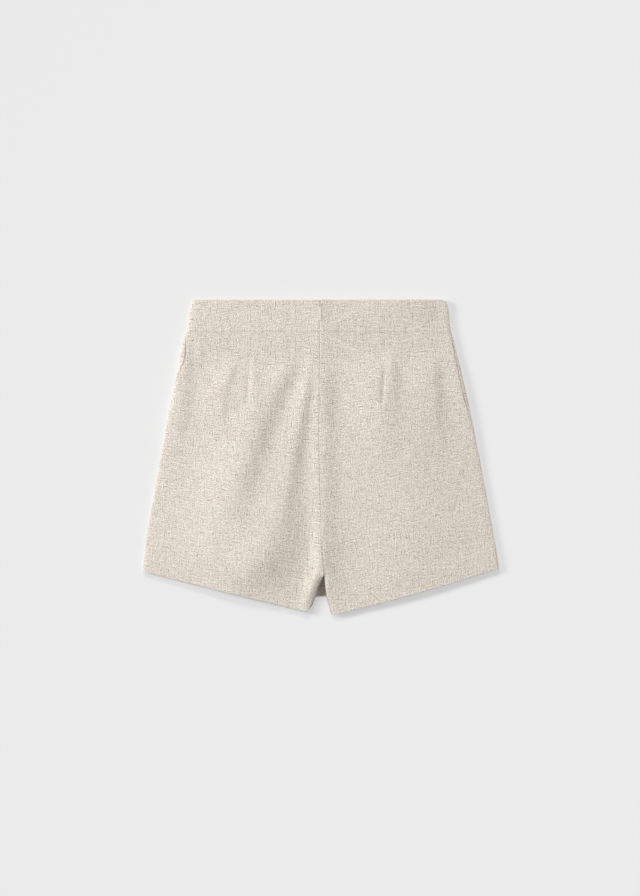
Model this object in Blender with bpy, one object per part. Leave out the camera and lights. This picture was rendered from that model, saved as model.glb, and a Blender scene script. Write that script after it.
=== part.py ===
"""Short A-line culottes of slubby linen, laid flat on a table with their back side up.

The lower layer (front panels and front waistband) rests flat on the table at z = 0. The upper
layer (back panels and back waistband) lies on it in soft slack folds. Both layers curl into each
other at the side seams, where the pocket mouths are. A concealed zip closes the centre back seam.

X runs across the garment, +Y towards the waist, Z up. Sizes are in millimetres and are turned to
metres where a mesh is made. "down" is a distance below the top edge of the waistband.
"""

import math
from collections import namedtuple

import bmesh
import bpy
import numpy as np

MM = 0.001

# Lengths of the garment
TOTAL_LENGTH = 418.0          # top of waistband to the lowest hem corner
WAISTBAND_DEPTH = 41.0
CROTCH_DOWN = 365.0           # top of waistband to the fork of the legs
SIDE_LENGTH_LEFT = 361.0      # top of waistband to hem, along the left side
SIDE_LENGTH_RIGHT = 356.5
HEM_DOWN_LEFT = 414.3         # inner hem corner of each back leg
HEM_DOWN_RIGHT = 418.0
WALL_HEM_DOWN_LEFT = 407.2    # where the left leg's inner wall meets the lower layer's hem
FRONT_HEM_DOWN_RIGHT = 395.0  # inner hem corner of the right front, hidden but for the fork
HEM_BOW_RIGHT = 2.8           # how far the right hem bends out from a straight line
LEFT_HEM_ENDS = (-236.0, -20.6)
RIGHT_HEM_ENDS = (20.0, 237.0)

# Cloth
CLOTH = 1.2                   # one layer of linen
BAND_CLOTH = 2.4              # waistband, folded double
HEM_CLOTH = 2.2               # hem turned up inside
SEAM_GAP = 0.3
HALF_GAP = SEAM_GAP / 2.0
HEM_ROW = 0.928               # row fraction where the hem allowance starts
HEM_ROW_FULL = 0.936
BODY_ROWS = 27
LAST_BODY_ROW = 0.84
FORK_ROW = 0.868              # row fraction at the fork
LEG_ROWS = (FORK_ROW, 0.892, 0.912, HEM_ROW, HEM_ROW_FULL, 0.968, 1.0)
PANEL_STEPS = 14              # steps across a back panel on each side of its dart
FRONT_STEPS = 7
BAND_ROWS = (0.0, 1.5, 4.0, 11.5, 25.0, WAISTBAND_DEPTH - HALF_GAP)
BACK_BAND_STEPS = 14
FRONT_BAND_STEPS = 12
SHARP_ANGLE = 50.0            # degrees, edges past it are not smoothed

# Lie of the upper layer. A pair of lengths says where a rise or fall starts and ends.
REST_HEIGHT = 4.4             # outer face of the upper layer where nothing lifts it
LOWEST_HEIGHT = 4.3           # it never lies closer to the table than this
BAND_LIFT = 2.0               # the doubled band lies higher than the panels
BAND_FADE = (36.0, 82.0)
BAND_SIDE_DROP = 1.1          # but less so at its ends
BAND_STEP = 0.4               # the band stands proud of the panel sewn to it
BAND_STEP_FADE = 12.0
HEM_LIFT = 0.75
HEM_LIFT_REACH = (24.0, 46.0)
SIDE_LIFT_LEFT = 0.8
SIDE_LIFT_RIGHT = 0.1
SIDE_LIFT_WIDTH = 22.0
SIDE_LIFT_FADE = (170.0, 260.0)
ZIP_LIFT = 1.2
ZIP_LIFT_WIDTH = 16.0
ZIP_FADE = (142.0, 180.0)
BAND_TOP_TILT = 2.6           # right half of the band stands higher along its top edge
TILT_START = (0.0, 110.0)
TILT_END = (132.0, 168.0)
TILT_FADE = (2.0, 44.0)
HEM_SETTLE = 0.75             # share of the folds' height that is lost at the hem
HEM_SETTLE_REACH = 56.0
SEAM_TURN = 3.0               # width over which cloth turns down into a seam
SEAM_GROOVE = 0.5

# Side roll, an ellipse seen along the seam
ROLL_REACH = 10.0             # its half-width across the garment
ROLL_HEIGHT = 3.0             # height of the side seam above the table
BAND_ROLL_HEIGHT = 3.1
SLIT_HALF_GAP = 0.45          # pocket mouths stand slightly open
MOUTH_FADE = 12.0             # length over which a pocket mouth opens

# Zip
ZIP_TOP_DOWN = 3.0
ZIP_END_DOWN = 146.0
TAPE_WIDTH = 12.0
TAPE_MIDDLE = 7.0
TAPE_THICKNESS = 0.6
COIL_WIDTH = 2.0
COIL_THICKNESS = 1.3
TAPE_CLEARANCE = 0.95         # tape to the band above it, which dips at the seam
TAPE_PANEL_CLEARANCE = 1.4    # tape to the panels, which also rise and fall in folds
TAPE_STEP = (50.0, 66.0)      # between the two
TAPE_ROWS = (12.0, 13.5, 26.0, 38.0, 50.0, 58.0, 66.0, 76.0, 86.0, 96.0, 106.0, 116.0, 126.0)
TAPE_STOP_DOWN = 13.0         # the coil starts here, below the slider
TAPE_TOP_GAP = 3.1            # half the gap between the tapes beside the slider
COIL_HALF_GAP = 0.2
TAB_AXIS_DOWN = 6.0
TAB_WIDTH = 3.4
TAB_LENGTH = 21.5
TAB_THICKNESS = 1.0
TAB_BAR = 0.45                # half-thickness of the bar that the tab swings on
TAB_WINDOW_WIDTH = 1.7
TAB_WINDOW_END = 3.0
TAB_FOOT_BAR = 1.2
TAB_CLEARANCE = 0.3
TAB_REST_SIDES = (-3.0, 3.0)  # the tab rests on the highest of these places on the band
TAB_REST_DOWNS = (1.0, 28.0)
SLIDER_WIDTH = 5.4
SLIDER_THICKNESS = 1.4
SLIDER_BACK = 4.5             # from the tab's axis to the slider's two ends
SLIDER_FRONT = 3.0
BRIDGE_WIDTH = 1.0
BRIDGE_OUTSIDE = 1.8          # half-length of the bridge along the zip, outside and inside
BRIDGE_INSIDE = 1.0
BRIDGE_LOW = 0.8              # underside and top of its arch above the tab's axis
BRIDGE_TOP = 1.5
SLOT_HALF_GAP = 0.85          # the bands part here, so that the bridge comes through
SLOT_FADE = (9.5, 14.0)

# Pocket bags
BAG_CLOTH = 1.0
BAG_HEIGHT = 1.6              # lowest face of the bag above the table
BAG_SIDE_MARGIN = 7.0
BAG_WIDTH = 112.0
BAG_TOP_DOWN = 46.0
BAG_END_DOWN = 232.0
BAG_TOP_SHARE = 0.62          # its width at the top, as a share of its full width
BAG_FOOT_INSET = 46.0         # its side runs this far in at the foot
BAG_ROUND_START = 0.6         # share of its length where the rounded foot starts
BAG_ROUND_LENGTH = 0.42
BAG_ROUND_POWER = 2.4
BAG_FOOT_SQUARE = 0.06
BAG_ROWS = 12
BAG_STEPS = 3

SideRow = namedtuple("SideRow", "down left right")
SIDE_OUTLINE = (
    SideRow(0.0, 169.0, 160.5),
    SideRow(1.5, 171.2, 164.4),
    SideRow(5.0, 172.3, 166.9),
    SideRow(12.0, 173.3, 168.8),
    SideRow(21.0, 174.3, 169.4),
    SideRow(37.0, 176.9, 170.9),
    SideRow(46.0, 180.0, 174.0),
    SideRow(60.0, 184.4, 177.4),
    SideRow(84.0, 188.5, 183.4),
    SideRow(120.0, 195.9, 191.9),
    SideRow(150.0, 202.4, 198.2),
    SideRow(202.0, 211.4, 208.7),
    SideRow(254.0, 221.0, 218.4),
    SideRow(307.0, 230.6, 228.2),
    SideRow(340.0, 234.8, 233.8),
    SideRow(361.0, 236.5, 236.8),
)

SeamRow = namedtuple("SeamRow", "down x")
CENTRE_SEAM = (
    SeamRow(0.0, -1.6),
    SeamRow(129.7, -2.2),
    SeamRow(165.0, -2.6),
    SeamRow(205.0, -2.5),
    SeamRow(252.0, -1.2),
    SeamRow(300.0, 0.3),
    SeamRow(339.8, 1.5),
    SeamRow(365.0, 3.9),
)

# Inner edges of the back legs below the fork: where the cloth turns down, and where it ends
LegRow = namedtuple("LegRow", "down turn_left edge_left edge_right turn_right")
LEG_EDGES = (
    LegRow(340.0, -2.4, 1.5, 1.5, 5.1),
    LegRow(355.0, -3.4, 2.9, 2.9, 6.4),
    LegRow(365.0, -5.8, 3.7, 4.0, 8.0),
    LegRow(370.4, -8.0, 2.0, 4.1, 8.2),
    LegRow(378.4, -11.0, -1.4, 4.7, 8.9),
    LegRow(391.7, -15.8, -6.0, 6.8, 11.0),
    LegRow(405.0, -19.6, -11.5, 10.3, 14.6),
    LegRow(418.0, -20.8, -16.6, 13.7, 18.2),
)
FORK_OPENING = (-1.0, 9.0)    # lengths from the fork, between which the edges come loose
LEG_EDGE_CLEARANCE = 0.4      # edge of a loose leg above the lower layer

# Distance of the side seam in from the outline, where the front wraps over at the pocket mouths
WrapRow = namedtuple("WrapRow", "down left right")
SIDE_WRAP = (
    WrapRow(41.0, 0.0, 0.0),
    WrapRow(52.0, 3.0, 1.6),
    WrapRow(62.0, 5.6, 2.4),
    WrapRow(72.0, 7.0, 2.8),
    WrapRow(82.0, 6.4, 3.1),
    WrapRow(90.0, 4.2, 3.4),
    WrapRow(99.0, 2.2, 3.8),
    WrapRow(112.0, 0.0, 4.4),
    WrapRow(124.0, 0.0, 4.3),
    WrapRow(138.0, 0.0, 3.4),
    WrapRow(150.0, 0.0, 1.8),
    WrapRow(166.0, 0.0, 0.5),
    WrapRow(180.0, 0.0, 0.0),
)

MouthRow = namedtuple("MouthRow", "side top end")
POCKET_MOUTHS = (
    MouthRow("left", 56.0, 104.0),
    MouthRow("right", 56.0, 142.0),
)

DartRow = namedtuple("DartRow", "side top_x end_x end_down hem_x depth")
DARTS = (
    DartRow("left", -95.6, -96.6, 137.0, -118.0, 0.5),
    DartRow("right", 87.4, 80.6, 143.0, 102.0, 1.1),
)
DART_HALF_WIDTH = 3.2
DART_START = (-62.0, -30.0)   # lengths from a dart's end, between which its valley deepens
DART_STOP = (-14.0, 4.0)      # and fades out

# Slack folds of the upper layer. Each runs down the cloth through three places, with its own
# width on each flank at its top and at its foot, and fades in and out over a length.
Fold = namedtuple(
    "Fold",
    "name top mid foot x_top x_mid x_foot "
    "left_top left_foot right_top right_foot height fade_top fade_foot",
)
FOLDS = (
    Fold("left leg swell", 60, 230, 420, -104, -112, -112, 44, 56, 40, 50, 4.2, 70, 150),
    Fold("left hem swell", 150, 330, 540, -108, -120, -136, 44, 58, 56, 52, 6.2, 190, 60),
    Fold("right leg swell", 60, 240, 480, 112, 118, 130, 52, 62, 48, 60, 3.4, 70, 60),
    Fold("main slack fold", 66, 213, 330, -10, -38.5, -62, 7, 40, 7, 17, 4.4, 66, 90),
    Fold("low slack fold", 215, 350, 430, -48, -79, -142, 24, 44, 28, 52, 9.0, 110, 20),
    Fold("second slack fold", 72, 165, 310, -37, -80, -128, 22, 40, 15, 24, 4.2, 36, 90),
    Fold("left hip fold", 68, 118, 190, -104, -128, -128, 18, 22, 6, 7, 1.9, 30, 50),
    Fold("left pocket edge", 50, 110, 230, -180, -184, -202, 11, 14, 12, 15, 2.3, 40, 90),
    Fold("seam ridge left", 70, 220, 400, -5, -6, -5, 7, 10, 6, 9, 1.8, 40, 30),
    Fold("seam ridge right", 76, 220, 330, 4, 5, 6, 8, 9, 13, 13, 2.9, 30, 60),
    Fold("fork lift left", 300, 366, 440, -3, -4, -20, 9, 9, 10, 10, 3.4, 60, 60),
    Fold("fork hem left", 350, 392, 470, -7, -15, -26, 9, 9, 9, 9, 6.0, 40, 40),
    Fold("fork lift right", 270, 366, 440, 2.5, 5, 15, 9, 10, 21, 22, 5.2, 60, 60),
    Fold("right seat fold", 66, 125, 250, 76, 78, 88, 32, 42, 20, 30, 4.4, 36, 100),
    Fold("right hip fold", 66, 130, 220, 146, 149, 155, 28, 32, 9, 15, 3.1, 36, 90),
    Fold("right pocket edge", 56, 110, 220, 180, 188, 204, 12, 14, 10, 12, 1.6, 36, 80),
)

LINEN = ("Linen blend plain weave", "D6CCBE", 0.85)
POCKETING = ("Cotton pocketing", "D9D0C2", 0.9)
ZIP_TAPE = ("Polyester zip tape", "CFC4B4", 0.7)
ZIP_METAL = ("Painted zinc zip slider", "D9D0C3", 0.45)


def step(low, high, value):
    """Rises smoothly from 0 at low to 1 at high."""
    share = np.clip((value - low) / (high - low), 0.0, 1.0)
    return share * share * (3.0 - 2.0 * share)


def read_row(table, column, down):
    """Reads one named column of a table at a depth, on a smooth curve through its rows."""
    depths = np.array([row.down for row in table])
    values = np.array([getattr(row, column) for row in table])
    slopes = np.gradient(values, depths)
    down = np.clip(down, depths[0], depths[-1])
    index = np.clip(np.searchsorted(depths, down) - 1, 0, len(depths) - 2)
    gap = depths[index + 1] - depths[index]
    share = (down - depths[index]) / gap
    square = share * share
    cube = square * share
    return (
        (2 * cube - 3 * square + 1) * values[index]
        + (cube - 2 * square + share) * gap * slopes[index]
        + (3 * square - 2 * cube) * values[index + 1]
        + (cube - square) * gap * slopes[index + 1]
    )


def straight_row(table, column, down):
    """Reads one named column of a table at a depth, on straight lines between its rows."""
    depths = [row.down for row in table]
    values = [getattr(row, column) for row in table]
    return np.interp(down, depths, values)


def three_point(down, depths, values):
    """A curve through three places, held straight past its ends."""
    near = np.clip(down, depths[0], depths[2])
    first = (near - depths[1]) * (near - depths[2])
    first = first / ((depths[0] - depths[1]) * (depths[0] - depths[2]))
    second = (near - depths[0]) * (near - depths[2])
    second = second / ((depths[1] - depths[0]) * (depths[1] - depths[2]))
    third = (near - depths[0]) * (near - depths[1])
    third = third / ((depths[2] - depths[0]) * (depths[2] - depths[1]))
    return first * values[0] + second * values[1] + third * values[2]


def fold_height(x, down):
    """Height that the slack folds add to the upper layer."""
    total = np.zeros_like(x * down)
    for fold in FOLDS:
        places = (fold.top, fold.mid, fold.foot)
        crest = three_point(down, places, (fold.x_top, fold.x_mid, fold.x_foot))
        share = np.clip((down - fold.top) / (fold.foot - fold.top), 0.0, 1.0)
        left = fold.left_top + (fold.left_foot - fold.left_top) * share
        right = fold.right_top + (fold.right_foot - fold.right_top) * share
        width = np.where(x < crest, left, right)
        rise = step(fold.top, fold.top + fold.fade_top, down)
        fall = 1.0 - step(fold.foot - fold.fade_foot, fold.foot, down)
        total = total + fold.height * rise * fall * np.exp(-(((x - crest) / width) ** 2))
    return total


def side_x(side, down):
    """Outline of one side, as an X coordinate."""
    sign = -1.0 if side == "left" else 1.0
    return sign * read_row(SIDE_OUTLINE, side, down)


def centre_x(down):
    """Centre back seam, and the centre front seam under it."""
    return straight_row(CENTRE_SEAM, "x", down)


def hem_down(x):
    """Depth of the back hem at an X coordinate."""
    left = np.interp(x, LEFT_HEM_ENDS, (SIDE_LENGTH_LEFT, HEM_DOWN_LEFT))
    right = np.interp(x, RIGHT_HEM_ENDS, (HEM_DOWN_RIGHT, SIDE_LENGTH_RIGHT))
    inner, outer = RIGHT_HEM_ENDS
    return np.where(x < 0.0, left, right + bow("right", (x - inner) / (outer - inner)))


def bow(side, share):
    """How far the hem lies outside a straight line, from the leg's inner edge to its side."""
    if side == "left":
        return 0.0
    share = np.clip(share, 0.0, 1.0)
    return HEM_BOW_RIGHT * 4.0 * share * (1.0 - share)


def upper_height(x, down):
    """Outer height of the upper layer above the table."""
    x = np.asarray(x, dtype=float)
    down = np.asarray(down, dtype=float)
    band_zone = 1.0 - step(*BAND_FADE, down)
    from_hem = hem_down(x) - down
    height = REST_HEIGHT + BAND_LIFT * band_zone
    height = height + HEM_LIFT * (1.0 - step(*HEM_LIFT_REACH, from_hem))
    outline = np.where(x < 0.0, -side_x("left", down), side_x("right", down))
    inset = np.maximum(outline - np.abs(x) - ROLL_REACH, 0.0)
    side_lift = np.where(x < 0.0, SIDE_LIFT_LEFT, SIDE_LIFT_RIGHT)
    side_lift = side_lift * (1.0 - step(*SIDE_LIFT_FADE, down)) - BAND_SIDE_DROP * band_zone
    height = height + side_lift * np.exp(-((inset / SIDE_LIFT_WIDTH) ** 2))
    zip_zone = 1.0 - step(*ZIP_FADE, down)
    zip_zone = zip_zone * np.exp(-(((x - centre_x(down)) / ZIP_LIFT_WIDTH) ** 2))
    height = height + ZIP_LIFT * zip_zone
    tilt = step(*TILT_START, x) * (1.0 - step(*TILT_END, x)) * (1.0 - step(*TILT_FADE, down))
    height = height + BAND_TOP_TILT * tilt
    settle = 1.0 - HEM_SETTLE * (1.0 - step(0.0, HEM_SETTLE_REACH, from_hem))
    return np.maximum(height + settle * fold_height(x, down), LOWEST_HEIGHT)


def panel_height(x, down):
    """Outer height of the back panels, which start a step below the band."""
    fade = 1.0 - step(WAISTBAND_DEPTH, WAISTBAND_DEPTH + BAND_STEP_FADE, down)
    return np.maximum(upper_height(x, down) - BAND_STEP * fade, LOWEST_HEIGHT)


def colour(hex_text):
    """sRGB hex text as a linear colour."""
    channels = [int(hex_text[i:i + 2], 16) / 255.0 for i in (0, 2, 4)]
    linear = [c / 12.92 if c <= 0.04045 else ((c + 0.055) / 1.055) ** 2.4 for c in channels]
    return (*linear, 1.0)


def material(finish):
    """A Principled material of a named finish, made once."""
    name, hex_text, roughness = finish
    known = bpy.data.materials.get(name)
    if known:
        return known
    made = bpy.data.materials.new(name)
    made.use_nodes = True
    shader = made.node_tree.nodes["Principled BSDF"]
    shader.inputs["Base Color"].default_value = colour(hex_text)
    shader.inputs["Roughness"].default_value = roughness
    shader.inputs["Metallic"].default_value = 0.0
    return made


def to_object(name, work, finish, origin=(0.0, 0.0, 0.0)):
    """Turns a bmesh in millimetres, built about its origin, into an object in metres."""
    bmesh.ops.scale(work, vec=(MM, MM, MM), verts=work.verts)
    mesh = bpy.data.meshes.new(name)
    work.to_mesh(mesh)
    work.free()
    mesh.materials.append(material(finish))
    mesh.shade_smooth()
    mesh.set_sharp_from_angle(angle=math.radians(SHARP_ANGLE))
    made = bpy.data.objects.new(name, mesh)
    made.location = [value * MM for value in origin]
    bpy.context.collection.objects.link(made)
    return made


def to_y(down):
    """The garment's middle along Y is the frame's zero."""
    return TOTAL_LENGTH / 2.0 - down


def sheet_wall(name, outer, inner, finish):
    """Closed wall between two grids of points, each an array of rows, columns and (x, down, z)."""
    rows, columns = outer.shape[0], outer.shape[1]
    work = bmesh.new()
    layers = []
    for points in (outer, inner):
        made = bmesh.ops.create_grid(
            work, x_segments=columns - 1, y_segments=rows - 1, size=0.5
        )["verts"]
        ordered = sorted(made, key=lambda v: (round(v.co.y, 5), round(v.co.x, 5)))
        for index, vert in enumerate(ordered):
            x, down, z = points[index // columns, index % columns]
            vert.co = (x, to_y(down), z)
        layers.append(ordered)
    top = set(layers[0])
    pairs = dict(zip(layers[0], layers[1]))
    rim = [e for e in work.edges if e.is_boundary and e.verts[0] in top and e.verts[1] in top]
    for edge in rim:
        first, second = edge.verts
        work.faces.new((first, second, pairs[second], pairs[first]))
    bmesh.ops.triangulate(work, faces=list(work.faces))
    bmesh.ops.recalc_face_normals(work, faces=list(work.faces))
    return to_object(name, work, finish)


def row_fractions():
    """Rows of a panel, closer where the legs fork and along the hem."""
    body = np.linspace(0.0, LAST_BODY_ROW, BODY_ROWS)
    return np.concatenate((body, LEG_ROWS))


def line_down(share, foot):
    """Depth of a row on a line from the band's seam past the fork to a foot."""
    start = WAISTBAND_DEPTH + HALF_GAP
    return np.interp(share, (0.0, FORK_ROW, 1.0), (start, CROTCH_DOWN, foot))


def cloth_at(share):
    """Wall of a panel at a row, thicker inside the hem."""
    return np.interp(share, (0.0, HEM_ROW, HEM_ROW_FULL, 1.0), (CLOTH, CLOTH, HEM_CLOTH, HEM_CLOTH))


def side_length(side):
    """Length from the top of the waistband to the hem along one side."""
    return SIDE_LENGTH_LEFT if side == "left" else SIDE_LENGTH_RIGHT


def side_down(side, share):
    """Depth of a row at the side seam."""
    start = WAISTBAND_DEPTH + HALF_GAP
    return start + (side_length(side) - start) * share


def roll_point(side, angle, outline, top, seam_height, wall):
    """Outer and inner (x, z) of the side roll, 90 degrees at its top and -90 at its base."""
    sign = -1.0 if side == "left" else 1.0
    rise = top - seam_height if angle > 0.0 else seam_height
    start = outline - sign * ROLL_REACH
    cosine, sine = math.cos(angle), math.sin(angle)
    outer = (start + sign * ROLL_REACH * cosine, seam_height + rise * sine)
    inner = (
        start + sign * (ROLL_REACH - wall) * cosine,
        seam_height + (rise - wall) * sine,
    )
    return outer, inner


def seam_angle(side, down, top, away):
    """Angle on the side roll where a panel ends, away = +1 for the back and -1 for the front."""
    wrap = float(straight_row(SIDE_WRAP, side, down))
    middle = math.acos(1.0 - wrap / ROLL_REACH)
    mouth = next(row for row in POCKET_MOUTHS if row.side == side)
    near = MOUTH_FADE / 3.0
    open_share = step(mouth.top + near - MOUTH_FADE, mouth.top + near, down)
    open_share = open_share * (1.0 - step(mouth.end - near, mouth.end - near + MOUTH_FADE, down))
    gap = HALF_GAP + (SLIT_HALF_GAP - HALF_GAP) * open_share
    rise = top - ROLL_HEIGHT
    speed = math.hypot(ROLL_REACH * math.sin(middle), rise * math.cos(middle))
    return middle + away * gap / speed


def turn_angles(start, end, count):
    """Angles in equal steps, with both ends."""
    return [start + (end - start) * i / count for i in range(count + 1)]


def dart_x(dart, down):
    """A dart's line, which runs on to the hem along the grain."""
    end = hem_down(dart.hem_x)
    places = (WAISTBAND_DEPTH, dart.end_down, float(end))
    return float(np.interp(down, places, (dart.top_x, dart.end_x, dart.hem_x)))


def dart_drop(dart, down):
    """Depth of a dart's valley."""
    from_end = down - dart.end_down
    return dart.depth * step(*DART_START, from_end) * (1.0 - step(*DART_STOP, from_end))


def back_panel(side):
    """One back leg, from the band to the hem, with its dart, folds and side roll."""
    sign = -1.0 if side == "left" else 1.0
    foot = HEM_DOWN_LEFT if side == "left" else HEM_DOWN_RIGHT
    edge_foot = WALL_HEM_DOWN_LEFT if side == "left" else HEM_DOWN_RIGHT
    dart = next(row for row in DARTS if row.side == side)
    outer_rows, inner_rows = [], []
    for share in row_fractions():
        wall = float(cloth_at(share))
        turn_down = float(line_down(share, foot))
        edge_down = float(line_down(share, edge_foot))
        side_at = float(side_down(side, share))
        outline = float(side_x(side, side_at))
        leg = turn_down > LEG_EDGES[0].down
        if leg:
            edge = float(straight_row(LEG_EDGES, "edge_" + side, edge_down))
            turn = float(straight_row(LEG_EDGES, "turn_" + side, turn_down))
        else:
            edge = float(centre_x(edge_down))
            turn = edge + sign * SEAM_TURN
        edge = edge + sign * HALF_GAP
        loose = float(step(*FORK_OPENING, turn_down - CROTCH_DOWN))
        turn_height = float(panel_height(turn, turn_down))
        over_front = HEM_CLOTH + LEG_EDGE_CLEARANCE
        edge_height = (turn_height - SEAM_GROOVE) * (1.0 - loose) + over_front * loose
        shrink = 1.0 - loose * wall / abs(edge - turn)
        outer, inner = [], []
        for angle in turn_angles(0.0, math.pi / 2.0, 3)[:-1]:
            cosine, sine = math.cos(angle), math.sin(angle)
            down = turn_down + (edge_down - turn_down) * cosine
            outer_z = edge_height + (turn_height - edge_height) * sine
            base = edge_height - wall * (1.0 - loose)
            inner_z = base + (turn_height - edge_height - wall * loose) * sine
            outer.append((turn + (edge - turn) * cosine, down, outer_z))
            inner.append((turn + (edge - turn) * cosine * shrink, down, inner_z))

        roll_start = outline - sign * ROLL_REACH

        def down_at(x, start=turn, start_down=turn_down, end=outline, end_down=side_at, row=share):
            across = (x - start) / (end - start)
            return start_down + (end_down - start_down) * across + float(bow(side, across)) * row**3

        dart_at = dart_x(dart, turn_down)
        dart_down = down_at(dart_at)
        drop = float(dart_drop(dart, dart_down))
        before = dart_at - sign * DART_HALF_WIDTH
        after = dart_at + sign * DART_HALF_WIDTH
        across = list(np.linspace(turn, before, PANEL_STEPS + 1))
        across.append(dart_at)
        across.extend(np.linspace(after, roll_start, PANEL_STEPS + 1))
        for x in across:
            down = down_at(x)
            height = float(panel_height(x, down))
            if x == dart_at:
                height = max(height - drop, LOWEST_HEIGHT)
            outer.append((x, down, height))
            inner.append((x, down, height - wall))
        top = outer[-1][2]
        end_angle = seam_angle(side, side_at, top, 1.0)
        for angle in turn_angles(math.pi / 2.0, end_angle, 5)[1:]:
            out, into = roll_point(side, angle, outline, top, ROLL_HEIGHT, wall)
            outer.append((out[0], down_at(out[0]), out[1]))
            inner.append((into[0], down_at(out[0]), into[1]))
        outer_rows.append(outer)
        inner_rows.append(inner)
    return sheet_wall(
        "back_" + side + "_panel", np.array(outer_rows), np.array(inner_rows), LINEN
    )


def back_side_top(side, share):
    """Height of the back panel where its side roll starts, which the front's roll shares."""
    sign = -1.0 if side == "left" else 1.0
    foot = HEM_DOWN_LEFT if side == "left" else HEM_DOWN_RIGHT
    turn_down = float(line_down(share, foot))
    side_at = float(side_down(side, share))
    outline = float(side_x(side, side_at))
    if turn_down > LEG_EDGES[0].down:
        turn = float(straight_row(LEG_EDGES, "turn_" + side, turn_down))
    else:
        turn = float(centre_x(turn_down)) + sign * SEAM_TURN
    x = outline - sign * ROLL_REACH
    across = (x - turn) / (outline - turn)
    down = turn_down + (side_at - turn_down) * across + float(bow(side, across)) * share**3
    return float(panel_height(x, down))


def front_panel(side):
    """One front leg, flat on the table, that rolls up at its side to the seam."""
    sign = -1.0 if side == "left" else 1.0
    foot = WALL_HEM_DOWN_LEFT if side == "left" else FRONT_HEM_DOWN_RIGHT
    outer_rows, inner_rows = [], []
    for share in row_fractions():
        wall = float(cloth_at(share))
        edge_down = float(line_down(share, foot))
        side_at = float(side_down(side, share))
        outline = float(side_x(side, side_at))
        if edge_down > CROTCH_DOWN:
            edge = float(straight_row(LEG_EDGES, "edge_left", edge_down))
        else:
            edge = float(centre_x(edge_down))
        edge = edge + sign * HALF_GAP
        roll_start = outline - sign * ROLL_REACH

        def down_at(x, start=edge, start_down=edge_down, end=outline, end_down=side_at, row=share):
            across = (x - start) / (end - start)
            return start_down + (end_down - start_down) * across + float(bow(side, across)) * row**3

        outer, inner = [], []
        for x in np.linspace(edge, roll_start, FRONT_STEPS + 1):
            outer.append((x, down_at(x), 0.0))
            inner.append((x, down_at(x), wall))
        top = back_side_top(side, share)
        end_angle = seam_angle(side, side_at, top, -1.0)
        for angle in turn_angles(-math.pi / 2.0, end_angle, 6)[1:]:
            out, into = roll_point(side, angle, outline, top, ROLL_HEIGHT, wall)
            outer.append((out[0], down_at(out[0]), out[1]))
            inner.append((into[0], down_at(out[0]), into[1]))
        outer_rows.append(outer)
        inner_rows.append(inner)
    return sheet_wall(
        "front_" + side + "_panel", np.array(outer_rows), np.array(inner_rows), LINEN
    )


def band_half_gap(down):
    """Half the gap between the two back bands, wider where the zip's bridge comes through."""
    return HALF_GAP + (SLOT_HALF_GAP - HALF_GAP) * (1.0 - float(step(*SLOT_FADE, down)))


def band_seam_angle(top, away):
    """Angle on the band's side roll where a band ends, away = +1 for the back."""
    return away * HALF_GAP / (top - BAND_ROLL_HEIGHT)


def band_side_top(side, down):
    """Height of the back band where its side roll starts, which the front's roll shares."""
    sign = -1.0 if side == "left" else 1.0
    outline = float(side_x(side, down))
    return float(upper_height(outline - sign * ROLL_REACH, down))


def back_band(side):
    """Half of the back waistband, from the centre back zip to the side seam."""
    sign = -1.0 if side == "left" else 1.0
    outer_rows, inner_rows = [], []
    for down in BAND_ROWS:
        outline = float(side_x(side, down))
        edge = float(centre_x(down)) + sign * band_half_gap(down)
        turn = float(centre_x(down)) + sign * SEAM_TURN
        roll_start = outline - sign * ROLL_REACH
        outer, inner = [], []
        turn_height = float(upper_height(turn, down))
        for angle in turn_angles(0.0, math.pi / 2.0, 2)[:-1]:
            cosine, sine = math.cos(angle), math.sin(angle)
            height = turn_height - SEAM_GROOVE * (1.0 - sine)
            x = turn + (edge - turn) * cosine
            outer.append((x, down, height))
            inner.append((x, down, height - BAND_CLOTH))
        for x in np.linspace(turn, roll_start, BACK_BAND_STEPS + 1):
            height = float(upper_height(x, down))
            outer.append((x, down, height))
            inner.append((x, down, height - BAND_CLOTH))
        top = outer[-1][2]
        end_angle = band_seam_angle(top, 1.0)
        for angle in turn_angles(math.pi / 2.0, end_angle, 4)[1:]:
            out, into = roll_point(side, angle, outline, top, BAND_ROLL_HEIGHT, BAND_CLOTH)
            outer.append((out[0], down, out[1]))
            inner.append((into[0], down, into[1]))
        outer_rows.append(outer)
        inner_rows.append(inner)
    return sheet_wall(
        "back_" + side + "_waistband", np.array(outer_rows), np.array(inner_rows), LINEN
    )


def front_band():
    """The front waistband in one piece, flat on the table and rolled up at both sides."""
    outer_rows, inner_rows = [], []
    for down in BAND_ROWS:
        ends = {}
        for side in ("left", "right"):
            outline = float(side_x(side, down))
            top = band_side_top(side, down)
            end_angle = band_seam_angle(top, -1.0)
            ends[side] = [
                roll_point(side, angle, outline, top, BAND_ROLL_HEIGHT, BAND_CLOTH)
                for angle in turn_angles(end_angle, -math.pi / 2.0, 3)
            ]
        left_start = ends["left"][-1][0][0]
        right_start = ends["right"][-1][0][0]
        outer = [(out[0], down, out[1]) for out, _ in ends["left"]]
        inner = [(into[0], down, into[1]) for _, into in ends["left"]]
        for x in np.linspace(left_start, right_start, FRONT_BAND_STEPS + 1)[1:-1]:
            outer.append((x, down, 0.0))
            inner.append((x, down, BAND_CLOTH))
        outer.extend((out[0], down, out[1]) for out, _ in reversed(ends["right"]))
        inner.extend((into[0], down, into[1]) for _, into in reversed(ends["right"]))
        outer_rows.append(outer)
        inner_rows.append(inner)
    return sheet_wall("front_waistband", np.array(outer_rows), np.array(inner_rows), LINEN)


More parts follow.
